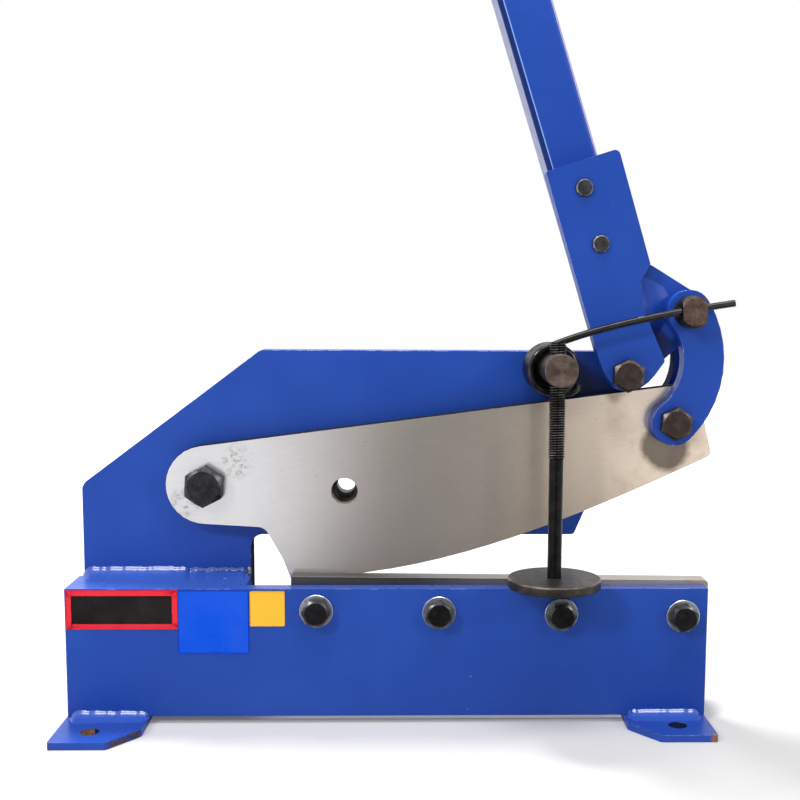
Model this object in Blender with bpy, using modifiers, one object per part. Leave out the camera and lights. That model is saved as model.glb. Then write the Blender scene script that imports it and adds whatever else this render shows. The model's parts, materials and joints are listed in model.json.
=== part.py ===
"""Hand lever plate shear: fixed frame, curved swinging blade, twin links, lever and return spring.

Outlines are written in millimetres as (x, z): x from the left end of the base, z from a level line
just below the bench. Depth y is measured from the shear plane, where the two blades pass; the front
is at negative y.
"""
import bpy
import bmesh
import math
from mathutils import Matrix, Vector

MM = 0.001

# ---- driving dimensions, millimetres -------------------------------------------------------
BASE_LENGTH = 461.8        # left end to right end of the front plate
BASE_TOP = 100.4           # top edge of the front plate
BENCH = 1.0                # z of the bench top, under the feet
FOOT_TOP = 6.0
FOOT_WIDE = 59.0
FOOT_DEEP = 157.2
FOOT_LEFT = -0.7           # outer edge of the left foot
GAP = 0.3                  # running gap between pieces that touch

# layers from front to back
FRONT_Y = (-26.2, -14.2)   # front plate
LOWER_BLADE_Y = (-13.9, -0.15)
OUTER_Y = (-15.1, -0.1)    # front link and lever cheek
BLADE_Y = (0.2, 15.2)      # moving blade and lever lug
REAR_LINK_Y = (15.5, 30.5)
FRAME_Y = (15.6, 35.6)     # main plate

BLADE_PIVOT = (97.2, 171.3)
LEVER_PIVOT = (401.5, 253.5)
LINK_TOP = (445.0, 298.7)
LINK_FOOT = (436.6, 219.1)
POST = (348.3, 259.0)      # hold-down post
SPRING_AT = (347.2, 257.8) # axis of the spring, which hangs a little low on the post
HOLD_Y = -40.2             # hold-down screw stands this far in front of the shear plane
DISC_Z = (105.1, 112.2)    # hold-down foot, resting just above the lower blade
BAR_HOLE = (198.5, 166.9)  # round-bar hole in the moving blade
BAR_DIE = (199.0, 169.3)   # its fixed die in the main plate
BAR_HOLE_R = 9.8
BAR_DIE_R = 6.6

# shank radii; the holes they stand in are wider by GAP
BLADE_PIN_R = 9.0
LEVER_PIN_R = 7.0
LINK_PIN_R = 7.0
SPRING_PIN_R = 6.0         # in the front link
SPRING_WAIST_R = 5.0       # in the lug's slot and the rear link
BLADE_BOLT_R = 6.0
TUBE_BOLT_R = 6.0
FOOT_HOLE_R = 6.6
POST_R = 11.5
POST_SHANK_R = 8.0
SPINDLE_R = 5.9
SPINDLE_CORE_R = 5.0

WASHER = 2.5               # thickness
BACK_NUT_Y = FRAME_Y[1] + GAP + WASHER + GAP

LEVER_LEAN = 16.3          # degrees the lever stands left of upright
CHEEK_TOP = 153.9          # up the lever from its pivot
TUBE_LEAN = 17.7           # the handle tube leans a little more
TUBE_BOLTS = ((380.5, 346.1), (368.1, 384.9))
TUBE_WIDE = 37.5
TUBE_DEEP = 36.0
TUBE_WALL = 2.6
TUBE_BELOW = 22.0          # tube below its lower bolt
TUBE_LONG = 500.0
GRIP_LONG = 118.0
GRIP_WALL = 3.6

LINK_TOP_R = 15.7
LINK_FOOT_R = 16.3
SLOT_IN = 11.9             # the lug's slot, from the link pin towards the lever pivot
SLOT_OUT = 4.1             # and away from it
SLOT_HALF = 7.3

SPRING_WIRE = 2.5          # radius
SPRING_MEAN_R = 16.4
SPRING_PITCH = 6.2
SPRING_PLANE = -27.4       # y of the spring arm
LEAVE = 114.0              # where the arm leaves the coil, degrees round its axis
ARM_CORNER = (382.4, 291.5)     # the arm bows in one curve: its two end tangents meet here
ARM_END = (473.7, 305.1)
EYE_ANGLE = 9.9            # slope of the arm where it passes through the spring pin
EYE_RISE = 1.7             # height of the cross slot's middle above the pin's axis

CENTRE = (236.68, 6.4)     # x and y, in these millimetres, of the middle of the whole object

SCENE_NAME = "hand_plate_shear"

# ---- clean start -----------------------------------------------------------------------------
for obj in list(bpy.data.objects):
    bpy.data.objects.remove(obj, do_unlink=True)
ASSEMBLY = bpy.data.collections.new(SCENE_NAME)
bpy.context.scene.collection.children.link(ASSEMBLY)


def world(x, y, z):
    """Point in metres from a place given in millimetres; the origin is below the object's middle."""
    return Vector(((x - CENTRE[0]) * MM, (y - CENTRE[1]) * MM, (z - BENCH) * MM))


def polar(centre, radius, degrees):
    a = math.radians(degrees)
    return (centre[0] + radius * math.cos(a), centre[1] + radius * math.sin(a))


def bearing(a, b):
    """Direction from a to b, in degrees."""
    return math.degrees(math.atan2(b[1] - a[1], b[0] - a[0]))


def ring(centre, radius, count):
    return [polar(centre, radius, 360 * k / count) for k in range(count)]


# ---- materials -------------------------------------------------------------------------------
COLOURS = {
    "blue_paint": ((0.028, 0.085, 0.42, 1), 0.0, 0.35),
    "blade_steel": ((0.50, 0.49, 0.47, 1), 1.0, 0.32),
    "black_oxide": ((0.030, 0.028, 0.027, 1), 0.9, 0.42),
    "brown_steel": ((0.10, 0.075, 0.065, 1), 0.9, 0.45),
    "zinc": ((0.62, 0.61, 0.58, 1), 1.0, 0.30),
    "spring_steel": ((0.022, 0.022, 0.022, 1), 0.8, 0.38),
    "black_rubber": ((0.020, 0.020, 0.020, 1), 0.0, 0.60),
}


def paint(obj, finish):
    colour, metal, rough = COLOURS[finish]
    mat = bpy.data.materials.new(obj.name + "_" + finish)
    mat.use_nodes = True
    bsdf = next(n for n in mat.node_tree.nodes if n.type == "BSDF_PRINCIPLED")
    bsdf.inputs["Base Color"].default_value = colour
    bsdf.inputs["Metallic"].default_value = metal
    bsdf.inputs["Roughness"].default_value = rough
    mat.diffuse_color = colour
    obj.data.materials.clear()
    obj.data.materials.append(mat)
    return obj


def pivot(name, point, carrier=None):
    """Empty on a joint's axis; the pieces that move about it hang from it."""
    empty = bpy.data.objects.new(name, None)
    empty.empty_display_size = 0.02
    ASSEMBLY.objects.link(empty)
    empty.parent = carrier
    empty.location = point - (carrier.matrix_world.translation if carrier else Vector())
    bpy.context.view_layer.update()
    return empty


def add(name, mesh, finish, holder=None):
    """Weld coincident points, face the normals outward and hang the piece on its pivot, if it has one."""
    bm = bmesh.new()
    bm.from_mesh(mesh)
    bmesh.ops.remove_doubles(bm, verts=bm.verts, dist=2e-6)
    bmesh.ops.recalc_face_normals(bm, faces=bm.faces)
    if holder:
        bmesh.ops.translate(bm, verts=bm.verts, vec=-holder.matrix_world.translation)
    bm.to_mesh(mesh)
    bm.free()
    mesh.name = name
    mesh.shade_smooth()
    mesh.set_sharp_from_angle(angle=math.radians(30))
    obj = bpy.data.objects.new(name, mesh)
    ASSEMBLY.objects.link(obj)
    obj.parent = holder
    return paint(obj, finish)


def mesh_of(obj):
    """The finished shape of a helper object, in world coordinates, with the helper removed."""
    bpy.context.view_layer.update()
    graph = bpy.context.evaluated_depsgraph_get()
    mesh = bpy.data.meshes.new_from_object(obj.evaluated_get(graph))
    mesh.transform(obj.matrix_world)
    bpy.data.objects.remove(obj, do_unlink=True)
    return mesh


# ---- shape helpers ---------------------------------------------------------------------------
def prism(outline, thick, place, holes=()):
    """Flat outline with round holes, thickened equally to both sides of its plane, then placed."""
    curve = bpy.data.curves.new("outline", "CURVE")
    curve.dimensions = "2D"
    curve.fill_mode = "BOTH"
    curve.extrude = thick / 2 * MM
    loops = [outline] + [ring(centre, radius, count) for centre, radius, count in holes]
    for loop in loops:
        spline = curve.splines.new("POLY")
        spline.points.add(len(loop) - 1)
        spline.use_cyclic_u = True
        for point, (a, b) in zip(spline.points, loop):
            point.co = (a * MM, b * MM, 0, 1)
    obj = bpy.data.objects.new("outline", curve)
    ASSEMBLY.objects.link(obj)
    obj.matrix_world = place
    return mesh_of(obj)


def plate_mesh(outline, y_range, holes=()):
    """Upright plate: outline and holes drawn in x and z, thickness from y_range[0] to y_range[1]."""
    place = Matrix.Translation(world(0, sum(y_range) / 2, 0)) @ Matrix.Rotation(math.pi / 2, 4, "X")
    return prism(outline, y_range[1] - y_range[0], place, holes)


def plate(name, outline, y_range, holes=(), finish="blue_paint", holder=None):
    return add(name, plate_mesh(outline, y_range, holes), finish, holder)


def rounded(points):
    """Outline with rounded corners: each point is (x, z) or (x, z, corner radius)."""
    out = []
    for k, here in enumerate(points):
        radius = here[2] if len(here) > 2 else 0
        if radius == 0:
            out.append((here[0], here[1]))
            continue
        p = Vector(here[:2])
        a = (Vector(points[k - 1][:2]) - p).normalized()
        b = (Vector(points[(k + 1) % len(points)][:2]) - p).normalized()
        half = a.angle(b) / 2
        reach = radius / math.tan(half)
        centre = p + (a + b).normalized() * (radius / math.sin(half))
        start, end = p + a * reach - centre, p + b * reach - centre
        turn = start.angle_signed(end)          # clockwise positive in 2D
        steps = max(2, int(abs(math.degrees(turn)) / 11))
        for s in range(steps + 1):
            ang = -turn * s / steps
            c, d = math.cos(ang), math.sin(ang)
            out.append((centre.x + start.x * c - start.y * d, centre.y + start.x * d + start.y * c))
    return out


def arc(centre, radius, a0, a1, steps):
    return [polar(centre, radius, a0 + (a1 - a0) * k / steps) for k in range(steps + 1)]


def turned_mesh(profile, centre, axis="Y", segments=32):
    """Turned shape: profile is (radius, position) from one end to the other, on an axis at centre."""
    mesh = bpy.data.meshes.new("profile")
    points = [(0, 0, profile[0][1] * MM)] if profile[0][0] > 0 else []
    points += [(r * MM, 0, p * MM) for r, p in profile]
    if profile[-1][0] > 0:
        points.append((0, 0, profile[-1][1] * MM))
    mesh.from_pydata(points, [(k, k + 1) for k in range(len(points) - 1)], [])
    obj = bpy.data.objects.new("profile", mesh)
    ASSEMBLY.objects.link(obj)
    screw = obj.modifiers.new("Turn", "SCREW")
    screw.axis = "Z"
    screw.angle = 2 * math.pi
    screw.steps = screw.render_steps = segments
    screw.use_merge_vertices = True
    screw.merge_threshold = 1e-5
    if axis == "Y":       # positions run along +y
        place = Matrix.Translation(world(centre[0], 0, centre[1])) @ Matrix.Rotation(-math.pi / 2, 4, "X")
    else:                 # positions run up +z; centre is (x, y)
        place = Matrix.Translation(world(centre[0], centre[1], 0))
    obj.matrix_world = place
    return mesh_of(obj)


def ring_mesh(r_in, r_out, centre, y0, y1, segments=32):
    """Flat ring such as a washer, on an axis along y."""
    return plate_mesh(ring(centre, r_out, segments), (y0, y1), [(centre, r_in, segments)])


def boolean(mesh, other, operation):
    """Exact Boolean of two closed meshes."""
    a = bpy.data.objects.new("a", mesh)
    b = bpy.data.objects.new("b", other)
    for obj in (a, b):
        bm = bmesh.new()
        bm.from_mesh(obj.data)
        bmesh.ops.remove_doubles(bm, verts=bm.verts, dist=2e-6)
        bmesh.ops.recalc_face_normals(bm, faces=bm.faces)
        bm.to_mesh(obj.data)
        bm.free()
        ASSEMBLY.objects.link(obj)
    mod = a.modifiers.new("Cut", "BOOLEAN")
    mod.solver = "EXACT"
    mod.operation = operation
    mod.object = b
    out = mesh_of(a)
    bpy.data.objects.remove(b, do_unlink=True)
    return out


def hexagon(centre, across_flats, turn):
    return [polar(centre, across_flats / math.sqrt(3), turn + 60 * k) for k in range(6)]


def hex_block(centre, across_flats, y0, y1, turn, chamfer_end):
    """Six-sided head or nut between y0 and y1; its corners are chamfered at chamfer_end."""
    block = plate_mesh(hexagon(centre, across_flats, turn), (y0, y1))
    corner, flat = across_flats / math.sqrt(3) + 0.3, across_flats / 2 * 0.955
    drop = (corner - flat) * 0.50
    if chamfer_end == "low":
        profile = [(flat, y0), (corner, y0 + drop), (corner, y1 + 1)]
    elif chamfer_end == "high":
        profile = [(corner, y0 - 1), (corner, y1 - drop), (flat, y1)]
    else:
        profile = [(flat, y0), (corner, y0 + drop), (corner, y1 - drop), (flat, y1)]
    return boolean(block, turned_mesh(profile, centre, "Y", 24), "INTERSECT")


def bolt(name, centre, shank_r, y_head, head_h, y_end, across_flats, turn, finish="black_oxide",
         holder=None):
    """Hex bolt put in from the front: the head's underside lies at y_head, the shank runs back to y_end."""
    head = hex_block(centre, across_flats, y_head - head_h, y_head, turn, "low")
    shank = turned_mesh([(shank_r, y_head - head_h / 2), (shank_r, y_end - 1.0),
                         (shank_r - 1.0, y_end)], centre, "Y", 24)
    return add(name, boolean(head, shank, "UNION"), finish, holder)


def nut(name, centre, hole_r, y0, height, across_flats, turn, finish="black_oxide", holder=None):
    body = hex_block(centre, across_flats, y0, y0 + height, turn, "both")
    hole = turned_mesh([(hole_r, y0 - 1), (hole_r, y0 + height + 1)], centre, "Y", 24)
    return add(name, boolean(body, hole, "DIFFERENCE"), finish, holder)


def back_washer(name, centre, pin_r, outer_r):
    """Washer between the main plate's back and a nut."""
    y = FRAME_Y[1] + GAP
    return add(name, ring_mesh(pin_r + GAP, outer_r, centre, y, y + WASHER), "zinc")


def tube_along(name, points, radius, finish, holder=None):
    """Round wire through world points, with flat closed ends."""
    curve = bpy.data.curves.new("wire", "CURVE")
    curve.dimensions = "3D"
    curve.bevel_depth = radius * MM
    curve.bevel_resolution = 2
    curve.use_fill_caps = True
    curve.twist_mode = "MINIMUM"
    spline = curve.splines.new("POLY")
    spline.points.add(len(points) - 1)
    for point, co in zip(spline.points, points):
        point.co = (co[0], co[1], co[2], 1)
    obj = bpy.data.objects.new("wire", curve)
    ASSEMBLY.objects.link(obj)
    return add(name, mesh_of(obj), finish, holder)


# ---- pivots: one for each body that moves ----------------------------------------------------
lever_pivot = pivot("lever_pivot", world(LEVER_PIVOT[0], 0, LEVER_PIVOT[1]))
blade_pivot = pivot("blade_pivot", world(BLADE_PIVOT[0], 0, BLADE_PIVOT[1]))
link_pivot = pivot("link_pivot", world(LINK_FOOT[0], 0, LINK_FOOT[1]), blade_pivot)
pin_pivot = pivot("pin_pivot", world(LINK_TOP[0], 0, LINK_TOP[1]), link_pivot)
spring_pivot = pivot("spring_pivot", world(SPRING_AT[0], 0, SPRING_AT[1]))
clamp_slide = pivot("clamp_slide", world(POST[0], HOLD_Y, DISC_Z[0]))
spindle_pivot = pivot("spindle_pivot", world(POST[0], HOLD_Y, POST[1]), clamp_slide)


# ---- base: front plate, feet, spacers, main plate --------------------------------------------
BLADE_BOLTS = [(179.4 + 88.1 * k, 84.5 - 1.33 * k) for k in range(4)]
BLADE_BOLT_HOLES = [(c, BLADE_BOLT_R + GAP, 24) for c in BLADE_BOLTS]
ON_FOOT = FOOT_TOP + GAP


def upright(x0, x1, top):
    """Rectangle standing on the feet."""
    return [(x0, ON_FOOT), (x1, ON_FOOT), (x1, top), (x0, top)]


plate("front_plate", upright(0, BASE_LENGTH, BASE_TOP), FRONT_Y, BLADE_BOLT_HOLES)


def foot(name, outer_x, inward, front_y, holes_at):
    """Foot plate with its inner corners cut away and a bolt hole near each end."""
    back_y = front_y + FOOT_DEEP
    inner = FOOT_WIDE - 1.5     # the inner edge runs in a little towards the back
    points = [(0, front_y, 2), (40.0, front_y, 3), (FOOT_WIDE, front_y + 25, 9), (inner, back_y - 25, 9),
              (40.0, back_y, 3), (0, back_y, 2)]
    outline = [(outer_x + inward * x, y) for x, y in rounded(points)]
    holes = [((outer_x + inward * 24.2, y), FOOT_HOLE_R, 24) for y in holes_at]
    place = Matrix.Translation(world(0, 0, (FOOT_TOP + BENCH) / 2))
    add(name, prism(outline, FOOT_TOP - BENCH, place, holes), "blue_paint")


foot("foot_left", FOOT_LEFT, 1, FRONT_Y[0] - 51.0, (FRONT_Y[0] - 30.1, FRONT_Y[0] + 84.5))
foot("foot_right", BASE_LENGTH, -1, FRONT_Y[0] - 41.0, (FRONT_Y[0] - 21.0, FRONT_Y[0] + 95.0))

SPACE_Y = (FRONT_Y[1] + GAP, FRAME_Y[0] - GAP)
plate("spacer_left", upright(0, 127.6, BASE_TOP), SPACE_Y)
plate("spacer_right", upright(428, BASE_LENGTH, 51), SPACE_Y)

# C-shaped main plate: column at the left, upper arm carrying the pivots, low arm under the throat
MAIN_OUTLINE = rounded([
    (3.7, ON_FOOT), (BASE_LENGTH, ON_FOOT), (BASE_LENGTH, 62, 3), (127.9, 62, 7),
    (127.9, 131.9, 9), (369.6, 131.9, 3), (415.6, 240, 20), (415.6, 269.2, 12), (136.5, 269.2, 5),
    (6.0, 171.2, 1.5), (3.7, 167.4, 1.5)])
plate("main_plate", MAIN_OUTLINE, FRAME_Y,
      [(BLADE_PIVOT, BLADE_PIN_R + GAP, 28), (LEVER_PIVOT, LEVER_PIN_R + GAP, 24),
       (POST, POST_SHANK_R + GAP, 24), (BAR_DIE, BAR_DIE_R, 24)])

# ---- fixed lower blade and its four bolts ----------------------------------------------------
LOWER_OUTLINE = rounded([(160.2, 54.8), (464.8, 51.9), (464.8, 103.8, 3), (160.2, 106.6)])
plate("lower_blade", LOWER_OUTLINE, LOWER_BLADE_Y, BLADE_BOLT_HOLES, "blade_steel")
for k, centre in enumerate(BLADE_BOLTS):
    y = FRONT_Y[0] - GAP
    disc = ring_mesh(BLADE_BOLT_R + GAP, 12, centre, y - WASHER, y, 28)
    add("lower_blade_washer_%d" % (k + 1), disc, "zinc")
    bolt("lower_blade_bolt_%d" % (k + 1), centre, BLADE_BOLT_R, y - WASHER - GAP, 7.5, -0.6, 18.0,
         (58, 22, 3, 15)[k])

# ---- moving blade ----------------------------------------------------------------------------
def edge_z(x):
    """Convex cutting edge: steep under the links, almost level near the heel."""
    t = x - 300
    return -1.472e-6 * t ** 3 + 8.55e-4 * t ** 2 + 0.3065 * t + 125.56


blade = arc(BLADE_PIVOT, 28.7, 97.5, 270, 15)
cut = [(216 + 17.6 * k, edge_z(216 + 17.6 * k)) for k in range(15)]
blade += rounded([blade[-1], (140.0, 140.1, 9), (153.0, 117.2, 25), (161.0, 96.5, 3), cut[0]])[1:]
blade += cut[1:]
blade += rounded([blade[-1], (467.8, 194.9, 3), (462.2, 216.8), (454.6, 247.2, 2), blade[0]])[1:-1]
plate("moving_blade", blade, BLADE_Y,
      [(BLADE_PIVOT, BLADE_PIN_R + GAP, 28), (LINK_FOOT, LINK_PIN_R + GAP, 24), (BAR_HOLE, BAR_HOLE_R, 28)],
      "blade_steel", blade_pivot)

# ---- blade pivot -----------------------------------------------------------------------------
bolt("blade_pivot_bolt", BLADE_PIVOT, BLADE_PIN_R, BLADE_Y[0] - GAP, 11.5, 51.5, 26.5, 27)
back_washer("blade_pivot_washer", BLADE_PIVOT, BLADE_PIN_R, 17)
nut("blade_pivot_nut", BLADE_PIVOT, BLADE_PIN_R + GAP, BACK_NUT_Y, 10.5, 27.0, 12)

# ---- lever: cheek in front, lug between the links, handle tube bolted behind the cheek --------
LEAN = math.radians(LEVER_LEAN)
RIGHT, UP = (math.cos(LEAN), math.sin(LEAN)), (-math.sin(LEAN), math.cos(LEAN))


def on_lever(v, u, *radius):
    """Point v to the right of the lever's centre line and u up it, from the lever pivot."""
    return (LEVER_PIVOT[0] + v * RIGHT[0] + u * UP[0], LEVER_PIVOT[1] + v * RIGHT[1] + u * UP[1]) + radius


CHEEK = rounded([
    on_lever(-18.2, CHEEK_TOP - 0.2, 1.5), on_lever(35.2, CHEEK_TOP + 1.2, 4), on_lever(36.1, 71.4, 2),
    on_lever(26.6, 62.5, 8), on_lever(23.6, 41.0, 10), on_lever(28.6, 2.2, 2), on_lever(10.8, -12.0, 28),
    on_lever(-7.0, -12.0, 13), on_lever(-16.4, 5.7, 40)])
plate("lever_cheek", CHEEK, OUTER_Y,
      [(LEVER_PIVOT, LEVER_PIN_R + GAP, 24)] + [(c, TUBE_BOLT_R + GAP, 24) for c in TUBE_BOLTS],
      holder=lever_pivot)


def tangent_angle(c1, r1, c2, r2, side):
    """Direction of the normal of the outer tangent line of two circles, in degrees."""
    apart = (Vector(c2) - Vector(c1)).length
    return bearing(c1, c2) + side * math.degrees(math.acos((r1 - r2) / apart))


HUB_R = 12.0
LUG_R = 15.6
low = tangent_angle(LEVER_PIVOT, HUB_R, LINK_TOP, LUG_R, -1)
lug = arc(LEVER_PIVOT, HUB_R, LEVER_LEAN + 180, low + 360, 10)
lug += arc(LINK_TOP, LUG_R, low, low + 99, 9)
lug += rounded([lug[-1], on_lever(39.0, 71.0, 3), on_lever(-6.0, 71.0, 3), on_lever(-12.0, 60.0)])[1:]
# radial slot in place of a round hole: the open pivot of the linkage
inward = bearing(LINK_TOP, LEVER_PIVOT)
slot = arc(polar(LINK_TOP, SLOT_IN, inward), SLOT_HALF, inward - 90, inward + 90, 10)
slot += arc(polar(LINK_TOP, -SLOT_OUT, inward), SLOT_HALF, inward + 90, inward + 270, 10)
lug_mesh = boolean(plate_mesh(lug, BLADE_Y, [(LEVER_PIVOT, LEVER_PIN_R + GAP, 24)]),
                   plate_mesh(slot, (BLADE_Y[0] - 1, BLADE_Y[1] + 1)), "DIFFERENCE")
add("lever_lug", lug_mesh, "blue_paint", lever_pivot)


def along_tube(half_w, y_range, start, end, corner):
    """Rectangular bar with rounded long edges, from start to end up the handle from the lower bolt."""
    half_d = (y_range[1] - y_range[0]) / 2
    section = rounded([(-half_w, -half_d, corner), (half_w, -half_d, corner),
                       (half_w, half_d, corner), (-half_w, half_d, corner)])
    middle = polar(TUBE_BOLTS[0], (start + end) / 2, 90 + TUBE_LEAN)
    place = (Matrix.Translation(world(middle[0], sum(y_range) / 2, middle[1]))
             @ Matrix.Rotation(-math.radians(TUBE_LEAN), 4, "Y"))
    return prism(section, end - start, place)


def grown(y_range, by):
    return (y_range[0] - by, y_range[1] + by)


TUBE_Y = (BLADE_Y[0], BLADE_Y[0] + TUBE_DEEP)
TUBE_TOP = TUBE_LONG - TUBE_BELOW
tube = along_tube(TUBE_WIDE / 2, TUBE_Y, -TUBE_BELOW, TUBE_TOP, 3.0)
hollow = along_tube(TUBE_WIDE / 2 - TUBE_WALL, grown(TUBE_Y, -TUBE_WALL), -TUBE_BELOW - 5, TUBE_TOP + 5, 1.2)
tube = boolean(tube, hollow, "DIFFERENCE")
for centre in TUBE_BOLTS:
    hole_r = TUBE_BOLT_R + GAP
    hole = turned_mesh([(hole_r, TUBE_Y[0] - 3), (hole_r, TUBE_Y[1] + 3)], centre, "Y", 24)
    tube = boolean(tube, hole, "DIFFERENCE")
add("handle_tube", tube, "blue_paint", lever_pivot)

for k, centre in enumerate(TUBE_BOLTS):     # put in from behind, their ends show through the cheek
    y_under = TUBE_Y[1] + GAP
    head = hex_block(centre, 18.0, y_under, y_under + 7.5, 10 + 25 * k, "high")
    shank = turned_mesh([(TUBE_BOLT_R - 1.1, -17.9), (TUBE_BOLT_R, -16.8), (TUBE_BOLT_R, y_under + 3)],
                        centre, "Y", 24)
    add("handle_bolt_%d" % (k + 1), boolean(head, shank, "UNION"), "black_oxide", lever_pivot)

grip_from = TUBE_TOP - GRIP_LONG
grip = along_tube(TUBE_WIDE / 2 + GRIP_WALL, grown(TUBE_Y, GRIP_WALL), grip_from, TUBE_TOP + 5, 8.0)
hollow = along_tube(TUBE_WIDE / 2 + GAP, grown(TUBE_Y, GAP), grip_from - 4, TUBE_TOP + GAP, 3.0)
add("handle_grip", boolean(grip, hollow, "DIFFERENCE"), "black_rubber", lever_pivot)

# ---- lever pivot -----------------------------------------------------------------------------
bolt("lever_pivot_bolt", LEVER_PIVOT, LEVER_PIN_R, OUTER_Y[0] - GAP, 8.8, 51.0, 21.0, 28, "brown_steel")
back_washer("lever_pivot_washer", LEVER_PIVOT, LEVER_PIN_R, 14)
nut("lever_pivot_nut", LEVER_PIVOT, LEVER_PIN_R + GAP, BACK_NUT_Y, 10.0, 21.0, 20)

# ---- twin links: C-shaped bands whose inner arc clears the lever pivot -------------------------
OUT_C = (389.9, 263.9)
OUT_R = 81.0
IN_R = 39.5


def circle_meet(c1, r1, c2, r2):
    """Left-hand meeting point of two circles."""
    a, b = Vector(c1), Vector(c2)
    d = (b - a).length
    along = (r1 * r1 - r2 * r2 + d * d) / (2 * d)
    side = math.sqrt(r1 * r1 - along * along)
    e = (b - a).normalized()
    meets = [tuple(a + e * along + Vector((-e.y, e.x)) * s) for s in (side, -side)]
    return min(meets)


IN_C = circle_meet(LINK_TOP, LINK_TOP_R + IN_R, LINK_FOOT, LINK_FOOT_R + IN_R)
LINK = arc(LINK_TOP, LINK_TOP_R, bearing(OUT_C, LINK_TOP), bearing(LINK_TOP, IN_C) + 360, 14)
LINK += arc(IN_C, IN_R, bearing(IN_C, LINK_TOP), bearing(IN_C, LINK_FOOT), 10)[1:-1]
LINK += arc(LINK_FOOT, LINK_FOOT_R, bearing(LINK_FOOT, IN_C), bearing(OUT_C, LINK_FOOT) + 360, 14)
LINK += arc(OUT_C, OUT_R, bearing(OUT_C, LINK_FOOT), bearing(OUT_C, LINK_TOP), 10)[1:-1]
foot_hole = (LINK_FOOT, LINK_PIN_R + GAP, 24)
plate("front_link", LINK, OUTER_Y, [(LINK_TOP, SPRING_PIN_R + GAP, 24), foot_hole], holder=link_pivot)
plate("rear_link", LINK, REAR_LINK_Y, [(LINK_TOP, SPRING_WAIST_R + GAP, 24), foot_hole], holder=link_pivot)

bolt("link_bolt", LINK_FOOT, LINK_PIN_R, OUTER_Y[0] - GAP, 8.8, 45.0, 21.0, 24, holder=link_pivot)
nut("link_nut", LINK_FOOT, LINK_PIN_R + GAP, REAR_LINK_Y[1] + GAP, 11.0, 21.0, 0, holder=link_pivot)

# ---- spring pin: round head with two flats, cross-slotted for the spring arm; waist in the lug ---
HEAD_R = 11.5
HEAD_FRONT = -32.2
FLATS_END = -20.4          # a full round collar is left behind the flats
FLATS = 17.0               # across them
pin = turned_mesh([(HEAD_R - 1.7, HEAD_FRONT), (HEAD_R, HEAD_FRONT + 1.5), (HEAD_R, OUTER_Y[0] - GAP),
                   (SPRING_PIN_R, OUTER_Y[0] - GAP), (SPRING_PIN_R, -0.4), (SPRING_WAIST_R, 0.4),
                   (SPRING_WAIST_R, 43.0), (SPRING_WAIST_R - 0.8, 43.8)], LINK_TOP, "Y", 32)
for side in (1, -1):
    slab = [polar(polar(LINK_TOP, side * a, 3), b, 93)
            for a, b in ((FLATS / 2, -14), (FLATS, -14), (FLATS, 14), (FLATS / 2, 14))]
    pin = boolean(pin, plate_mesh(slab, (HEAD_FRONT - 1, FLATS_END)), "DIFFERENCE")
bm = bmesh.new()        # cross slot along the spring arm, higher than the wire for its slide
eye_at = polar(LINK_TOP, EYE_RISE, 90 + EYE_ANGLE)
bmesh.ops.create_cube(bm, size=MM, matrix=(
    Matrix.Translation(world(eye_at[0], SPRING_PLANE, eye_at[1]))
    @ Matrix.Rotation(-math.radians(EYE_ANGLE), 4, "Y") @ Matrix.Diagonal((28.0, 5.7, 10.0, 1))))
eye = bpy.data.meshes.new("eye")
bm.to_mesh(eye)
bm.free()
add("spring_pin", boolean(pin, eye, "DIFFERENCE"), "brown_steel", pin_pivot)
nut("spring_pin_nut", LINK_TOP, SPRING_WAIST_R + GAP, REAR_LINK_Y[1] + GAP, 8.4, 17.0, 15, holder=pin_pivot)

# ---- hold-down: post screwed through the main plate, threaded spindle and round foot -----------
SPINDLE_AT = (POST[0], HOLD_Y)
SPINDLE_TOP = 277.9
THREAD_FROM = 197.0        # height where the plain lower shank ends
SOCKET_FLOOR = DISC_Z[0] + 2.0
post = turned_mesh([(POST_R - 0.6, -62.2), (POST_R, -61.6), (POST_R, FRAME_Y[0] - GAP),
                    (POST_SHANK_R, FRAME_Y[0] - GAP), (POST_SHANK_R, 51.0), (POST_SHANK_R - 1, 52.0)],
                   POST, "Y", 32)
bore = turned_mesh([(SPINDLE_R + GAP, POST[1] - 19), (SPINDLE_R + GAP, POST[1] + 19)], SPINDLE_AT, "Z", 24)
add("hold_down_post", boolean(post, bore, "DIFFERENCE"), "brown_steel")
nut("hold_down_post_nut", POST, POST_SHANK_R + GAP, FRAME_Y[1] + GAP, 13.0, 24.0, 5)

disc = turned_mesh([(32.2, DISC_Z[0]), (33.0, DISC_Z[0] + 0.8), (33.0, DISC_Z[1] - 0.8), (32.2, DISC_Z[1])],
                   SPINDLE_AT, "Z", 48)
socket = turned_mesh([(SPINDLE_CORE_R + GAP, SOCKET_FLOOR), (SPINDLE_CORE_R + GAP, DISC_Z[1] + 2)],
                     SPINDLE_AT, "Z", 24)
add("hold_down_foot", boolean(disc, socket, "DIFFERENCE"), "black_oxide", clamp_slide)
spindle = turned_mesh([(SPINDLE_CORE_R - 0.8, SOCKET_FLOOR + GAP), (SPINDLE_CORE_R, SOCKET_FLOOR + GAP + 0.8),
                       (SPINDLE_CORE_R, THREAD_FROM), (SPINDLE_R, THREAD_FROM + 0.9),
                       (SPINDLE_R, SPINDLE_TOP - 0.9), (SPINDLE_CORE_R, SPINDLE_TOP)], SPINDLE_AT, "Z", 24)
add("hold_down_spindle", spindle, "black_oxide", spindle_pivot)

# ---- return spring: coil round the post, straight arm through the spring pin --------------------
SPLIT = LEAVE + 560        # the front turns move with the arm, the rest stays
COIL_BACK = FRAME_Y[0] - GAP - SPRING_WIRE      # y of the last turn's centre
WIRE_STEP = 15.0           # degrees between the wire's points


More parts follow.
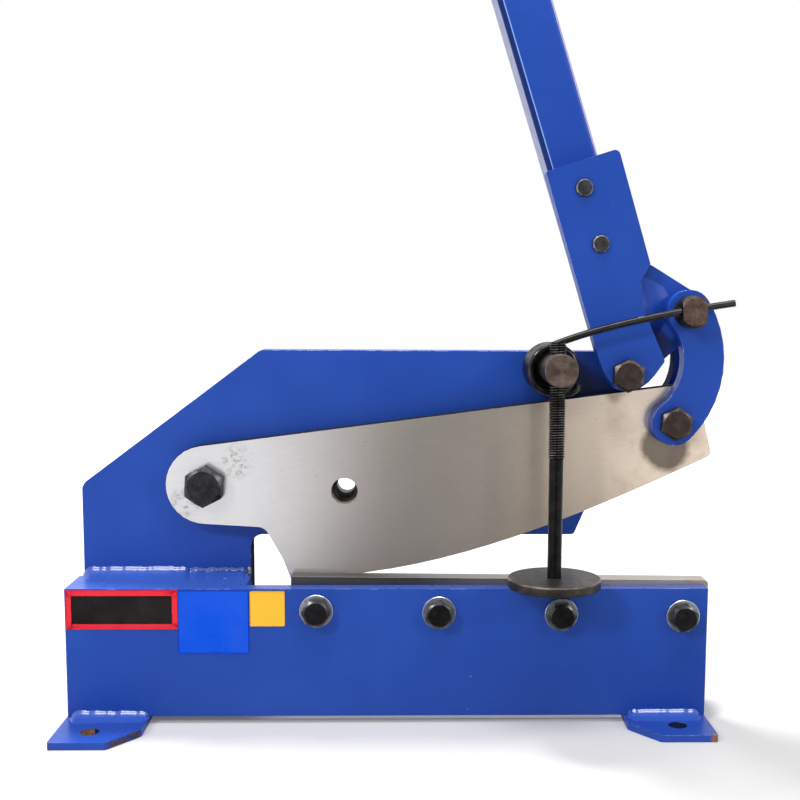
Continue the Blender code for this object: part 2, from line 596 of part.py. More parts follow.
def coil_point(angle, outward=0.0, forward=0.0):
    """Point on the coil's centre line, or moved from it along the end's direction and to the front."""
    x, z = polar(polar(SPRING_AT, SPRING_MEAN_R, angle), outward, angle + 72)
    return world(x, SPRING_PLANE + SPRING_PITCH * (angle - LEAVE) / 360 - forward, z)


def coil_run(first, last):
    """Points along the coil from one angle to another, at even steps."""
    count = round(abs(last - first) / WIRE_STEP)
    return [coil_point(first + (last - first) * k / count) for k in range(count + 1)]


arm = coil_run(SPLIT - 1.5, LEAVE)
leave = Vector(polar(SPRING_AT, SPRING_MEAN_R, LEAVE))
for k in range(1, 13):
    t = k / 12
    p = leave * (1 - t) ** 2 + Vector(ARM_CORNER) * 2 * t * (1 - t) + Vector(ARM_END) * t * t
    arm.append(world(p.x, SPRING_PLANE, p.y))
tube_along("spring_arm", arm, SPRING_WIRE, "spring_steel", spring_pivot)

# the fixed turns end at the back with a short tail bent out and forward
TAIL_AT = 310.0            # degrees round the post
coil_end = LEAVE + 360 * (COIL_BACK - SPRING_PLANE) / SPRING_PITCH
last = TAIL_AT + 360 * math.floor((coil_end - TAIL_AT) / 360)
coil = coil_run(SPLIT + 1.5, last)
coil += [coil_point(last, out, forward) for out, forward in ((3.0, 0.2), (5.5, 1.6), (7.0, 4.6), (7.5, 8.5))]
tube_along("spring_coil", coil, SPRING_WIRE, "spring_steel")
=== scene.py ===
# %% [markdown]
# # A hand lever plate shear
#
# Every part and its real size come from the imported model. This notebook adds what a maker's eye
# would miss there: eased edges, threads, welds, round wire, and the finishes.

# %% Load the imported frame
import json
import random
from math import atan2, ceil, cos, degrees, pi, radians, sin, sqrt, tan
import bpy
from mathutils import Matrix, Vector


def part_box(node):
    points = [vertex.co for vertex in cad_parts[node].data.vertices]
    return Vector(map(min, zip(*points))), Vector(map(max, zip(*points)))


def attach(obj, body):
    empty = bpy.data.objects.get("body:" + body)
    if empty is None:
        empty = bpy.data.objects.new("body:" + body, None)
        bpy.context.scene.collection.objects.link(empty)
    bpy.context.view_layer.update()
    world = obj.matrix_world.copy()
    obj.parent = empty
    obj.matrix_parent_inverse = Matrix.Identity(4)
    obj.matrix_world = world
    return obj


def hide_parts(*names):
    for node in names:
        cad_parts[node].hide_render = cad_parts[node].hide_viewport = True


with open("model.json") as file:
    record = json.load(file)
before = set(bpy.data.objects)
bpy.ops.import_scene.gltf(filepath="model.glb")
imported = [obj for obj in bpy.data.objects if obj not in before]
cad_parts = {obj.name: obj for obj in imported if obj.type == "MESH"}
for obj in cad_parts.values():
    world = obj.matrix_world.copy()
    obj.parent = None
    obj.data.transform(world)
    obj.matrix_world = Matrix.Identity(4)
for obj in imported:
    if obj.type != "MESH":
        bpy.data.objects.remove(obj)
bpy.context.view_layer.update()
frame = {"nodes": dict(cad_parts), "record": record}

MM = 0.001
bodies = frame["record"]["behaviour"]["bodies"]
home = {node: body for body, nodes in bodies.items() for node in nodes}
slot_of = {part["node"]: part["material_slot"] for part in frame["record"]["subparts"]}

# %% [markdown]
# ## Workshop measures
#
# Places are given as on a drawing, in millimetres: x from the base's left end, y back from the
# plane where the blades pass, z up from just under the bench. The front plate's low corner is known
# on the drawing and in the model, and ties the two together.

# %% From drawing to model
FRONT_FACE = -26.2  # the front plate's face, in y
BASE_LOW = 6.3  # its low edge, in z
drawing_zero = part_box("front_plate")[0] - Vector((0, FRONT_FACE, BASE_LOW)) * MM


def at(x, y, z):
    """A point of the drawing as a point in the model."""
    return drawing_zero + Vector((x, y, z)) * MM


def drawn(point):
    """A point in the model as a point of the drawing."""
    return (point - drawing_zero) / MM


def new_object(name, data):
    """An object that shows this data, linked to the scene."""
    made = bpy.data.objects.new(name, data)
    bpy.context.scene.collection.objects.link(made)
    return made


print("drawing zero sits at", tuple(round(c, 5) for c in drawing_zero))

# %% [markdown]
# ## Camera
#
# The view is nearly straight from the front, a little above the blades. The lens's shift puts the
# machine in the frame without tipping the camera up.

# %% Place the camera
CAMERA_AT = (240.85, -864.38, 306.23)
camera = new_object("camera", bpy.data.cameras.new("camera"))
bpy.context.scene.camera = camera
camera.data.sensor_width = 36
camera.data.lens = 53.72
camera.data.shift_x = -0.0394
camera.data.shift_y = 0.0518
turn_right, look_down, roll = (radians(a) for a in (1.408, 6.754, 0.291))
camera.matrix_world = (Matrix.Translation(at(*CAMERA_AT)) @ Matrix.Rotation(-turn_right, 4, "Z")
                       @ Matrix.Rotation(pi / 2 - look_down, 4, "X")
                       @ Matrix.Rotation(roll, 4, "Z"))

# %% [markdown]
# ## Light and floor
#
# Two soft boxes stand left and right in front, as for any painted machine: the plates get an even
# light, and the flat blade mirrors both boxes, with the darker room between them.

# %% Colours and shader nodes
def linear(code, alpha=1.0):
    """An sRGB hex colour as the linear values that a shader needs."""
    parts = [int(code[k:k + 2], 16) / 255 for k in (1, 3, 5)]
    return tuple(c / 12.92 if c <= 0.04045 else ((c + 0.055) / 1.055) ** 2.4
                 for c in parts) + (alpha,)


def add(near, kind, inputs=None, **settings):
    """Adds a node to the tree that the first argument is in; returns the node's outputs."""
    made = near.id_data.nodes.new("ShaderNode" + kind)
    for name, value in settings.items():
        setattr(made, name, value)
    for name, value in (inputs or {}).items():
        fill(made.inputs[name], value)
    return made.outputs


def fill(socket, value):
    """Gives a socket another node's output, a hex colour or a plain value."""
    if isinstance(value, bpy.types.NodeSocket):
        socket.id_data.links.new(value, socket)
    else:
        socket.default_value = linear(value) if isinstance(value, str) else value


SIGNS = {"+": "ADD", "-": "SUBTRACT", "*": "MULTIPLY", "max": "MAXIMUM"}


def calc(first, sign, second):
    """One sum on shader values."""
    return add(first, "Math", {0: first, 1: second}, operation=SIGNS[sign])[0]


def connect(shader, **sockets):
    """Fills the shader's sockets, named with _ for a space."""
    for name, value in sockets.items():
        fill(shader.inputs[name.replace("_", " ")], value)


def empty_tree(owner):
    """The owner's tree, emptied, and the outputs that tell what a ray is."""
    owner.use_nodes = True
    owner.node_tree.nodes.clear()
    return owner.node_tree, add(owner.node_tree, "LightPath")


# %% World and floor
ROOM_LIGHT = 0.34  # of the white that the camera sees
MIRRORED_FLOOR = 0.42
FLOOR_SIZE = 8.0
bpy.context.scene.view_settings.view_transform = "Standard"
world = bpy.data.worlds.new("studio")
bpy.context.scene.world = world
tree, ray = empty_tree(world)
seen = calc(ray["Is Camera Ray"], "max", ray["Is Glossy Ray"])
seen = calc(seen, "max", ray["Is Transmission Ray"])
strength = add(tree, "MapRange", {"Value": seen, "To Min": ROOM_LIGHT, "To Max": 1.0})[0]
sky = add(tree, "Background", {"Color": "#ffffff", "Strength": strength})[0]
add(tree, "OutputWorld", {"Surface": sky})

bpy.ops.mesh.primitive_plane_add(size=FLOOR_SIZE, location=(0, 0, -0.0002))
floor = bpy.context.object
floor.name = "floor"
paper = bpy.data.materials.new("white paper floor")
tree, ray = empty_tree(paper)
mirrored = calc(ray["Is Glossy Ray"], "*", MIRRORED_FLOOR)
seen = calc(ray["Is Camera Ray"], "max", mirrored)
seen = calc(seen, "max", ray["Is Transmission Ray"])
matt = add(tree, "BsdfDiffuse", {"Color": "#d6d6d6"})[0]
reach = add(tree, "VectorMath", {0: add(tree, "TexCoord")["Object"]}, operation="LENGTH")
far = add(tree, "MapRange", {"Value": reach["Value"], "From Min": 0.45, "From Max": 1.3,
                             "To Min": 0.12, "To Max": 1.0})[0]  # near the base, shadows show
glow = add(tree, "Emission", {"Color": "#ffffff", "Strength": calc(seen, "*", far)})[0]
both = add(tree, "AddShader", {0: matt, 1: glow})[0]
add(tree, "OutputMaterial", {"Surface": both})
floor.data.materials.append(paper)


# %% Lamps
def soft_box(name, place, aim, size, power, colour="#ffffff"):
    """An area lamp of a width and depth at a place, turned to face a point, in metres."""
    lamp = bpy.data.lights.new(name, "AREA")
    lamp.energy = power
    lamp.shape = "RECTANGLE"
    lamp.size, lamp.size_y = size
    lamp.color = linear(colour)[:3]
    box = new_object(name, lamp)
    box.location = place
    box.rotation_euler = (Vector(aim) - Vector(place)).to_track_quat("-Z", "Y").to_euler()
    return box


soft_box("left box", (-1.5, -1.9, 1.6), (0, 0, 0.2), (0.42, 0.42), 27)
soft_box("right box", (1.8, -1.7, 1.2), (0, 0, 0.2), (0.5, 0.5), 12.6, "#fff1e2")
soft_box("top strip", (0.0, -0.5, 1.9), (0, 0, 0.1), (1.5, 0.5), 17)
back = soft_box("back light", (-0.3, 0.62, 1.85), (0.05, 0, 0.1), (0.45, 0.45), 34)
back.visible_glossy = False  # draws the floor's shadow, with no glare on wire

# %% [markdown]
# ## Tools of the bench
#
# New pieces are worked in edit mode. Their place and size go into the mesh, so that each finished
# object stands at the origin.

# %% Making and selecting
def settled(name):
    """Names the object just added and puts its place and size into the mesh."""
    made = bpy.context.object
    made.name = name
    bpy.ops.object.transform_apply(location=True, rotation=True, scale=True)
    return made


def edit_all():
    """Opens the active piece in edit mode, all of it selected."""
    bpy.ops.object.mode_set(mode="EDIT")
    bpy.ops.mesh.select_all(action="SELECT")


def close_outwards():
    """Turns every face outwards and leaves edit mode."""
    bpy.ops.mesh.select_all(action="SELECT")
    bpy.ops.mesh.normals_make_consistent(inside=False)
    bpy.ops.object.mode_set(mode="OBJECT")


def edit_where(piece, kind, test):
    """Opens the active piece in edit mode with the edges or faces that pass the test."""
    bpy.ops.object.mode_set(mode="EDIT")
    bpy.ops.mesh.select_mode(type=kind)
    bpy.ops.mesh.select_all(action="DESELECT")
    bpy.ops.object.mode_set(mode="OBJECT")
    for element in piece.data.edges if kind == "EDGE" else piece.data.polygons:
        element.select = test(element)
    bpy.ops.object.mode_set(mode="EDIT")


def close_points():
    """Goes back to selecting points and leaves edit mode."""
    bpy.ops.mesh.select_mode(type="VERT")
    bpy.ops.object.mode_set(mode="OBJECT")


# %% Dark flags in front, which only reflections see
felt = bpy.data.materials.new("black felt flag")
felt.use_nodes = True
connect(felt.node_tree.nodes["Principled BSDF"], Base_Color="#1c1b1a", Roughness=1.0)


def dark_flag(name, x_range, y_range, upright=0.0):
    """Felt on the floor between places in metres, turned up at its front to a height."""
    bpy.ops.mesh.primitive_plane_add(size=1, location=(sum(x_range) / 2, sum(y_range) / 2, 0.003))
    bpy.context.object.scale = (x_range[1] - x_range[0], y_range[1] - y_range[0], 1)
    flag = settled(name)
    if upright:
        edit_where(flag, "EDGE", lambda edge: all(
            flag.data.vertices[v].co.y < y_range[0] + 0.01 for v in edge.vertices))
        bpy.ops.mesh.extrude_edges_move(TRANSFORM_OT_translate={"value": (0, 0, upright)})
        close_points()
    flag.visible_camera = flag.visible_diffuse = flag.visible_shadow = False
    flag.data.materials.append(felt)


dark_flag("dark_flag", (-0.10, 0.34), (-1.4, -0.4), upright=0.9)
dark_flag("dark_flag_near", (-0.40, 0.45), (-0.4, -0.10))
print("stage has", len(bpy.data.lights), "lamps and two flags")

# %% [markdown]
# ## Finishes
#
# The machine has few finishes: blue machine enamel, ground tool steel, bolts blackened in hot
# oxide, turned parts gone brown, zinc plated washers. Their patterns read Object coordinates, so a
# grain or a scratch has its real size.

# %% Pieces that every finish uses
def new_finish(name):
    """A material with its shader and the Object coordinates, in metres."""
    material = bpy.data.materials.new(name)
    material.use_nodes = True
    shader = material.node_tree.nodes["Principled BSDF"]
    return material, shader, add(shader, "TexCoord")["Object"]


def noise(place, grain_mm, detail=3.0, rough=0.55, stretch=None):
    """A noise whose lumps are about grain_mm wide; stretch makes them longer along an axis."""
    if stretch:
        place = add(place, "Mapping", {"Vector": place, "Scale": stretch})[0]
    return add(place, "TexNoise", {"Vector": place, "Scale": 1 / (grain_mm * MM),
                                   "Detail": detail, "Roughness": rough})["Fac"]


def spread(value, low, high, to_low=0.0, to_high=1.0):
    """The value's range from low to high, stretched over another and held at its ends."""
    return add(value, "MapRange", {"Value": value, "From Min": low, "From Max": high,
                                   "To Min": to_low, "To Max": to_high})[0]


def blend(share, first, second):
    """Mixes two colours, given as hex or as another node's output."""
    return add(share, "Mix", {0: share, 6: first, 7: second}, data_type="RGBA")[2]


def bump(height, depth_mm, strength):
    return add(height, "Bump", {"Height": height, "Distance": depth_mm * MM,
                                "Strength": strength})[0]


def away_from(place, spot):
    """Distance from a drawing point."""
    return add(place, "VectorMath", {0: place, 1: at(*spot)}, operation="DISTANCE")["Value"]


def wear_and_shade_spot(place, colour, spot_colour, spot, near_mm, far_mm, share, grain_mm, wander_mm):
    """A ragged spot round a point, used both for wear and for painted shade: full inside the near
    radius, gone past the far one.
    """
    wander = calc(noise(place, grain_mm), "*", wander_mm * MM)
    away = calc(away_from(place, spot), "+", wander)
    return blend(spread(away, near_mm * MM, far_mm * MM, share, 0.0), colour, spot_colour)


def specks(place, every_mm, size, patch_mm, patch_detail, patch_edge):
    """Round specks, one in each cell of a grid, kept only inside some patches."""
    cells = add(place, "TexVoronoi", {"Vector": place, "Scale": 1 / (every_mm * MM)})
    dots = spread(cells["Distance"], *size, 1.0, 0.0)
    kept = spread(noise(place, patch_mm, patch_detail), *patch_edge)
    return calc(dots, "*", kept)


def coated(material, weight):
    """Lays a clear glossy coat over a finish."""
    connect(material.node_tree.nodes["Principled BSDF"], Coat_Weight=weight,
            Coat_Roughness=0.12)
    return material


# %% [markdown]
# ### Sprayed blue machine enamel
#
# Solvent enamel dries satin, with a faint orange peel, a little dust in it, and a deeper colour
# where it lies thick. On edges it is thin, and handling chips it to pale primer and grey steel.

# %% Enamel, and enamel worn along an edge
ENAMEL = "#214bab"
ENAMEL_DEEP = "#1d45a3"
PRIMER = "#b9c2d6"
BARE_STEEL = "#8d8a88"


def enamel(name, wear=0.0, chip_mm=7.0, peel=1.0, gloss=0.36, shine=0.22, tint=None,
           under=PRIMER, bare=BARE_STEEL, shade_spots=(), bare_at=None):
    """Blue enamel; wear is the share of it gone to primer and steel.

    Each of shade_spots is (place, near, far, share), a spot of painted shade; bare_at is a corner
    knocked to brown steel."""
    material, shader, place = new_finish(name)
    cloud = spread(noise(place, 70, 2.0), 0.35, 0.65)
    colour = blend(cloud, tint or ENAMEL, tint or ENAMEL_DEEP)
    dust = specks(place, 17, (0.022, 0.034), 45, 1.0, (0.50, 0.54))  # 0.5 mm nibs
    colour = blend(dust, colour, "#8ea2d8")
    # painted shade: each spot darkens the enamel towards #0b1024 round a point
    for spot, near, far, share in shade_spots:
        colour = wear_and_shade_spot(place, colour, "#0b1024", spot, near, far, share, 12, 0.28 * far)
    satin = spread(noise(place, 9, 4.0), 0.3, 0.7, gloss - 0.05, gloss + 0.07)
    lumps = noise(place, 1.6, 2.0)
    metal = 0.0
    if wear > 0:
        flakes = noise(place, chip_mm, 5.0, 0.62)
        line = 0.5 + 0.16 * (0.5 - wear)
        chipped = spread(flakes, line, line + 0.015)
        metal = spread(flakes, line + 0.035, line + 0.05)
        colour = blend(chipped, colour, under)
        colour = blend(metal, colour, bare)
        satin = calc(satin, "+", calc(chipped, "*", 0.12))
        lumps = calc(lumps, "-", calc(chipped, "*", 2.0))
    if bare_at:
        colour = wear_and_shade_spot(place, colour, "#8a6452", bare_at, 7.0, 7.5, 1.0, 3, 4)
    connect(shader, Base_Color=colour, Roughness=satin, Metallic=metal,
            Specular_IOR_Level=shine, Normal=bump(lumps, 0.035 * peel, 0.5))
    return material


blue = enamel("sprayed blue enamel")
blue_edge = enamel("sprayed blue enamel, worn edge", wear=0.40, chip_mm=9)
blue_edge_hard = enamel("sprayed blue enamel, knocked edge", wear=0.62, chip_mm=6)
blue_rubbed = enamel("sprayed blue enamel, rubbed corner", wear=0.12, chip_mm=14)
weld_blue = coated(enamel("enamel over a weld bead", peel=0.3, gloss=0.14, shine=0.6), 1.0)
chipped_bead = enamel("enamel mostly gone from a bead", wear=0.95, chip_mm=3, under="#d9d2c6")
# painted reflection: the weld's slope paler, as if mirroring the light above
lit_slope_blue = enamel("enamel on a weld's slope, painted paler", peel=0.3, gloss=0.2, shine=0.5, tint="#375dc0")
# painted shade: the plate darkens round the post and under the coil and lever, where they cast
# shadow
post_shade_blue = enamel("sprayed blue enamel, painted shade round the post",
                   shade_spots=(((368, 15.6, 242), 16, 50, 0.86),))
# painted shade: dark in the crease where the lug meets the cheek, and in the notch above it
ear_shade_blue = enamel("sprayed blue enamel, painted shade in its creases",
                  shade_spots=(((427, -6, 276), 8, 27, 0.80), ((415, -6, 329), 3, 11, 0.75)))
tip_blue = enamel("sprayed blue enamel, knocked corner", tint="#2a4fb0",
                  bare_at=(461.8, -67.2, 2.5))
# painted light: a foot's top lighter, as if lit from above
lit_foot_top_blue = enamel("enamel on a foot, dusty", gloss=0.3, shine=0.3, tint="#2c50b0")
# painted shade: the walls of the foot holes, dark as if in shadow
hole_shade_blue = enamel("enamel in a hole, painted shade", tint="#0c1a44")
cut_blue = enamel("enamel on a flame cut side", wear=0.5, chip_mm=5, peel=3.0, under="#2b221f",
                  bare="#5c4a42", tint="#2b418f")
# painted light: top faces lighter, as light from above makes them
lit_top_blue = enamel("enamel on a top face, painted lighter as if lit from above", gloss=0.3, shine=0.4, tint="#3d61be")
# painted light: a matt end face, lighter like the lit top beside it
matt_lit_blue = enamel("enamel in a corner, matt, painted lighter like the lit top", gloss=0.6, shine=0.0, tint="#3a5dba")
# painted shade: dark grey for sides in shadow, in gaps and notches
painted_shade = enamel("painted shade in a gap", gloss=0.6, shine=0.0, tint="#333441")
tube_side = enamel("sprayed blue enamel, glossy side", peel=0.1, gloss=0.2, shine=0.7)
# painted shade: the handle's rolled corners, darker as if turned from the light
fold_shade_blue = enamel("enamel on a fold, painted shade", gloss=0.2, shine=0.1, tint="#152f70")
# painted highlight: a pale line where the front meets a rolled corner
corner_highlight_blue = enamel("enamel with a painted pale highlight line", gloss=0.3, tint="#86a6ee")
# painted highlight: a bright line on a rolled corner
fold_highlight_blue = enamel("enamel with a painted highlight along a fold", gloss=0.2, shine=0.6, tint="#a9aee6")
print("enamel in", ENAMEL, "with wear to", PRIMER)

# %% [markdown]
# ### Ground blade steel
#
# The grinder leaves fine scratches along the blade, which stretch a reflection across them, and
# oily handling leaves warm stains. Roughness decides how softly the steel mirrors the studio. The
# colour also goes from pale at the left to warm at the right, partly as a painted reflection of the
# lamps, and painted shadows lie round the link's foot and the lever's end.

# %% Blade steel and its bright edge
def drawn_x(place, start, end):
    """0 at drawing x = start and 1 at x = end, in millimetres."""
    x = add(place, "SeparateXYZ", {0: place})["X"]
    return spread(x, at(start, 0, 0).x, at(end, 0, 0).x)


def ground_steel(name, cold, warm, roughness, smudges=(), oiled=None, painted_shadows=()):
    """Steel ground along x, cold at the left, oiled in the middle and warm towards the lever; this
    tone along x is partly patina and partly a painted reflection of the lamps.

    Smudges are (place, reach), finger marks; painted_shadows are (place, reach, share), painted
    shadow round the parts of a joint."""
    material, shader, place = new_finish(name)
    ground = noise(place, 0.35, 2.0, stretch=(0.04, 1.0, 1.0))  # long along x
    # partly painted reflection: the tone along x also stands for lamps mirrored bright at the ends
    # and a darker room between
    colour = blend(drawn_x(place, 130, 230), cold, oiled or cold)
    colour = blend(drawn_x(place, 250, 380), colour, warm)
    oily = spread(noise(place, 38, 4.0, 0.55), 0.50, 0.72)
    handled = calc(oily, "*", drawn_x(place, 300, 430))
    colour = blend(calc(handled, "*", 0.55), colour, "#a08a6a")
    colour = blend(spread(ground, 0.35, 0.70, 0.0, 0.10), colour, "#55524e")
    pits = specks(place, 5, (0.06, 0.10), 26, 2.0, (0.55, 0.60))  # 0.4 mm, in clusters
    colour = blend(calc(pits, "*", 0.6), colour, "#6a625c")
    for spot, reach in smudges:
        near = spread(away_from(place, spot), 0.3 * reach * MM, reach * MM, 1.0, 0.0)
        blot = spread(noise(place, 4.5, 5.0, 0.7), 0.47, 0.68)
        colour = blend(calc(near, "*", blot), colour, "#77705f")
    # painted shadow: darker round a point, where a part above the blade casts shadow
    for spot, reach, share in painted_shadows:
        colour = wear_and_shade_spot(place, colour, "#4c423b", spot, reach, reach + 5, share, 10, 6)
    sheen = spread(noise(place, 14, 4.0), 0.3, 0.7, roughness - 0.012,
                   roughness + 0.015)
    connect(shader, Base_Color=colour, Metallic=0.72, Roughness=sheen,
            Normal=bump(ground, 0.001, 0.02))
    return material


BLADE_PIVOT = (97.2, 171.3)
# partly painted reflection: pale at the left, greyer in the middle, warm at the right
blade_steel = ground_steel(
    "ground blade steel", "#d8d8db", "#f2e2cf", 0.24, oiled="#c6bfb9",
    smudges=(((BLADE_PIVOT[0] + 23, 0, BLADE_PIVOT[1] + 17), 15),
             ((BLADE_PIVOT[0] - 14, 0, BLADE_PIVOT[1] - 13), 14)),
    # painted shadows of the link's foot and of the lever's end
    painted_shadows=(((433.5, 0.2, 200.5), 18.0, 0.80), ((395.5, 0.2, 241.5), 8.0, 0.50)))
# painted shade and reflection: dark at the left, where the upper blade lies over it
blade_low = ground_steel("ground blade steel, lower", "#575350", "#b9aea2", 0.30)
# the same darker left on its edges
low_edge = ground_steel("stoned edge, lower blade", "#8f8a85", "#d9cbbb", 0.3)
# partly a painted highlight: the stoned edges paler than the face
blade_edge = ground_steel("stoned blade edge", "#eeeae6", "#cdb08c", 0.20)
print("blade steel runs from #d8d8db to #f2e2cf")


# %% [markdown]
# ### Oxides, turned steel, zinc and wire
#
# Black oxide is a thin oily skin, rubbed to grey on the corners of the bolts. The pins and the post
# carry a brown oxide over turning marks. Washers are bright zinc.

# %% Blackened, browned, plated and rusted steel
TOOL_MARK_MM = 0.7


def turning_marks(shader, place, axis):
    """Rings round an axis along y, which fan the light out as on a turned face."""
    centre = at(axis[0], 0, axis[1])
    arm = add(place, "VectorMath", {0: place, 1: centre}, operation="SUBTRACT")[0]
    flat = add(place, "VectorMath", {0: arm, 1: (1, 0, 1)}, operation="MULTIPLY")[0]
    away = add(place, "VectorMath", {0: flat}, operation="LENGTH")["Value"]
    along = add(place, "VectorMath", {0: arm, 1: (0, 1, 0)}, operation="CROSS_PRODUCT")[0]
    along = add(place, "VectorTransform", {"Vector": along}, vector_type="VECTOR",
                convert_from="OBJECT", convert_to="WORLD")[0]
    connect(shader, Anisotropic=0.85, Tangent=along)
    return add(place, "TexNoise", {"W": away, "Scale": 1 / (TOOL_MARK_MM * MM), "Detail": 2.0},
               noise_dimensions="1D")["Fac"]


def oxide(name, base, rubbed, roughness, rub_share=0.25, grain_mm=1.2, metallic=0.85,
          depth_mm=0.03, turned_at=None):
    """An oxide skin on steel, rubbed paler in patches, with turning marks round an axis."""
    material, shader, place = new_finish(name)
    patch = noise(place, 6, 6.0, 0.65)
    colour = blend(spread(patch, 0.40, 0.85 - rub_share * 0.4), base, rubbed)
    fine = noise(place, grain_mm, 3.0)
    if turned_at:
        rings = turning_marks(shader, place, turned_at)
        colour = blend(spread(rings, 0.35, 0.75, 0.0, 0.35), colour, rubbed)
        fine = calc(fine, "+", calc(rings, "*", 2.0))
    satin = spread(patch, 0.3, 0.7, roughness + 0.03, roughness - 0.03)
    connect(shader, Base_Color=colour, Metallic=metallic, Roughness=satin,
            Normal=bump(fine, depth_mm, 0.35))
    return material


POST = (348.3, 259.0)
black_oxide = oxide("hot black oxide steel", "#242326", "#3f3d40", 0.36)
black_corner = oxide("black oxide, rubbed corner", "#343338", "#626167", 0.30, 0.4)
bolt_end = oxide("turned bolt end", "#39383a", "#5a595b", 0.34, 0.4)
# pale: a bolt end's bare chamfer, and also a painted glint on the spring arm
end_rim_and_glint = oxide("chamfer of a turned bolt end, also a painted glint", "#6e6c6e", "#a7a6a8", 0.25, 0.5)
post_face = oxide("brown turned steel", "#51433e", "#85756c", 0.36, 0.3, turned_at=POST)
brown_steel = oxide("brown oxide steel", "#3b3231", "#54473f", 0.42, 0.3)
pin_face = oxide("brown oxide steel, scratched face", "#4d3d39", "#7c645b", 0.42, 0.3)
brown_corner = oxide("brown oxide, rubbed corner", "#3a322e", "#6f6058", 0.36, 0.4)
brown_side = oxide("brown oxide steel, mill side", "#37322f", "#5a504a", 0.44, 0.3)
zinc = oxide("bright zinc plate", "#b4bac6", "#dfe3ea", 0.30, 0.6, grain_mm=0.9, metallic=1.0,
             depth_mm=0.01)
disc_steel = oxide("oiled cast disc steel", "#3b3836", "#57504b", 0.42, 0.35)
disc_edge = oxide("disc steel, worn rim", "#55504b", "#8d867d", 0.36, 0.5)
wire_steel = coated(oxide("black spring wire", "#0e0e0f", "#2e2d2e", 0.17, 0.2, grain_mm=1.5,
                          metallic=0.4, depth_mm=0.015), 0.25)
wire_end = oxide("cut wire end", "#a9a49c", "#d8d4cc", 0.35, 0.6)
rust = oxide("rusted bore", "#4f3024", "#9a6b50", 0.62, 0.5, grain_mm=1.0, metallic=0.25,
             depth_mm=0.12)
bore_steel = oxide("drilled bore, gone brown", "#a3968e", "#c9bdb4", 0.40, 0.5, grain_mm=0.8,
                   metallic=0.2)
die_steel = oxide("oiled die steel", "#33302f", "#57524f", 0.42, 0.4, grain_mm=0.8)
thread_steel = oxide("oiled black thread", "#151414", "#2a2827", 0.34, 0.25)
thread_crest = oxide("oiled black thread, rubbed crest", "#4a4644", "#b5b0a9", 0.15, 0.4)
# a dark sleeve standing in for the shade between post and coil
gap_shade_black = oxide("dark sleeve standing in for shade", "#141414", "#222222", 0.6, 0.2, grain_mm=1.0, metallic=0.0)


# %% Grip rubber and blank labels
def rubber(name):
    """Moulded rubber: a 0.8 mm pebble, grey where it is dusty."""
    material, shader, place = new_finish(name)
    dusty = spread(noise(place, 30, 4.0), 0.4, 0.75)
    connect(shader, Base_Color=blend(dusty, "#1b1b1d", "#2a2a2c"), Roughness=0.62,
            Normal=bump(noise(place, 0.8, 2.0), 0.05, 0.5))
    return material


def vinyl(name, colour):
    """Printed sticker film: even and glossy, with faint ripples from the paint under it."""
    material, shader, place = new_finish(name)
    ripple = noise(place, 12, 2.0)
    faded = spread(noise(place, 25, 3.0), 0.35, 0.7, 0.0, 0.012)
    connect(shader, Base_Color=blend(faded, colour, "#ffffff"),
            Roughness=spread(ripple, 0.3, 0.7, 0.26, 0.31),
            Specular_IOR_Level=0.08, Normal=bump(ripple, 0.01, 0.2))
    return material


grip_rubber = rubber("moulded black rubber")
label_red = vinyl("red printed film", "#e62c3c")
label_black = vinyl("black printed film", "#181413")
label_blue = vinyl("bright blue printed film", "#0551dc")
label_yellow = vinyl("yellow printed film", "#f2be3a")

plain_finish = {"blue_paint": blue, "blade_steel": blade_steel, "black_oxide": black_oxide,
                "brown_steel": brown_steel, "zinc_plate": zinc, "spring_steel": wire_steel,
                "grip_rubber": grip_rubber}
for node, obj in frame["nodes"].items():
    obj.data.materials.clear()
    obj.data.materials.append(plain_finish[slot_of[node]])
print(len(bpy.data.materials), "materials")

# %% [markdown]
# ## How a piece is made
#
# Most pieces copy their CAD node, whose triangles are merged into whole faces and whose edges are
# eased by a bevel. Round pieces are turned: a circle is extruded from station to station. Hexagons
# lose their corners to a turned cone, as a real bolt head does.

# %% Modifiers, copies and easing
def pick(*objects):
    """Leaves only these objects selected, the first one active."""
    bpy.ops.object.select_all(action="DESELECT")
    for obj in objects:
        obj.select_set(True)
    bpy.context.view_layer.objects.active = objects[0]


def apply(piece, kind, **settings):
    """Gives the piece a modifier with these settings and applies it."""
    pick(piece)
    modifier = piece.modifiers.new(kind.title(), kind)
    for name, value in settings.items():
        setattr(modifier, name, value)
    bpy.ops.object.modifier_apply(modifier=modifier.name)
    return piece


def cut(piece, other, operation="DIFFERENCE"):
    """An exact Boolean, which uses up the other piece."""
    apply(piece, "BOOLEAN", object=other, operation=operation, solver="EXACT")
    bpy.data.objects.remove(other, do_unlink=True)
    return piece


def joined(piece, other):
    """Adds a mesh to the piece as it is, for surfaces too close to each other for a Boolean."""
    pick(piece, paint(other, *piece.data.materials[:1]))
    bpy.ops.object.join()
    return piece


def tidy_faces(piece, flat_degrees=0.5):
    """Merges doubles, joins triangles of one flat face, and turns every face outwards."""
    pick(piece)
    edit_all()
    bpy.ops.mesh.remove_doubles(threshold=2e-6)
    bpy.ops.mesh.dissolve_limited(angle_limit=radians(flat_degrees))
    bpy.ops.mesh.normals_make_consistent(inside=False)
    bpy.ops.object.mode_set(mode="OBJECT")
    return piece


def copy_of(node, name):
    """A CAD node's mesh as a new piece with whole faces."""
    piece = new_object(name, frame["nodes"][node].data.copy())
    piece.data.materials.clear()
    return tidy_faces(piece)


def round_edges(piece, width_mm, segments, sharp, **settings):
    """Bevels the edges that turn by more than sharp degrees."""
    return apply(piece, "BEVEL", width=width_mm * MM, segments=segments, limit_method="ANGLE",
                 angle_limit=radians(sharp), **settings)


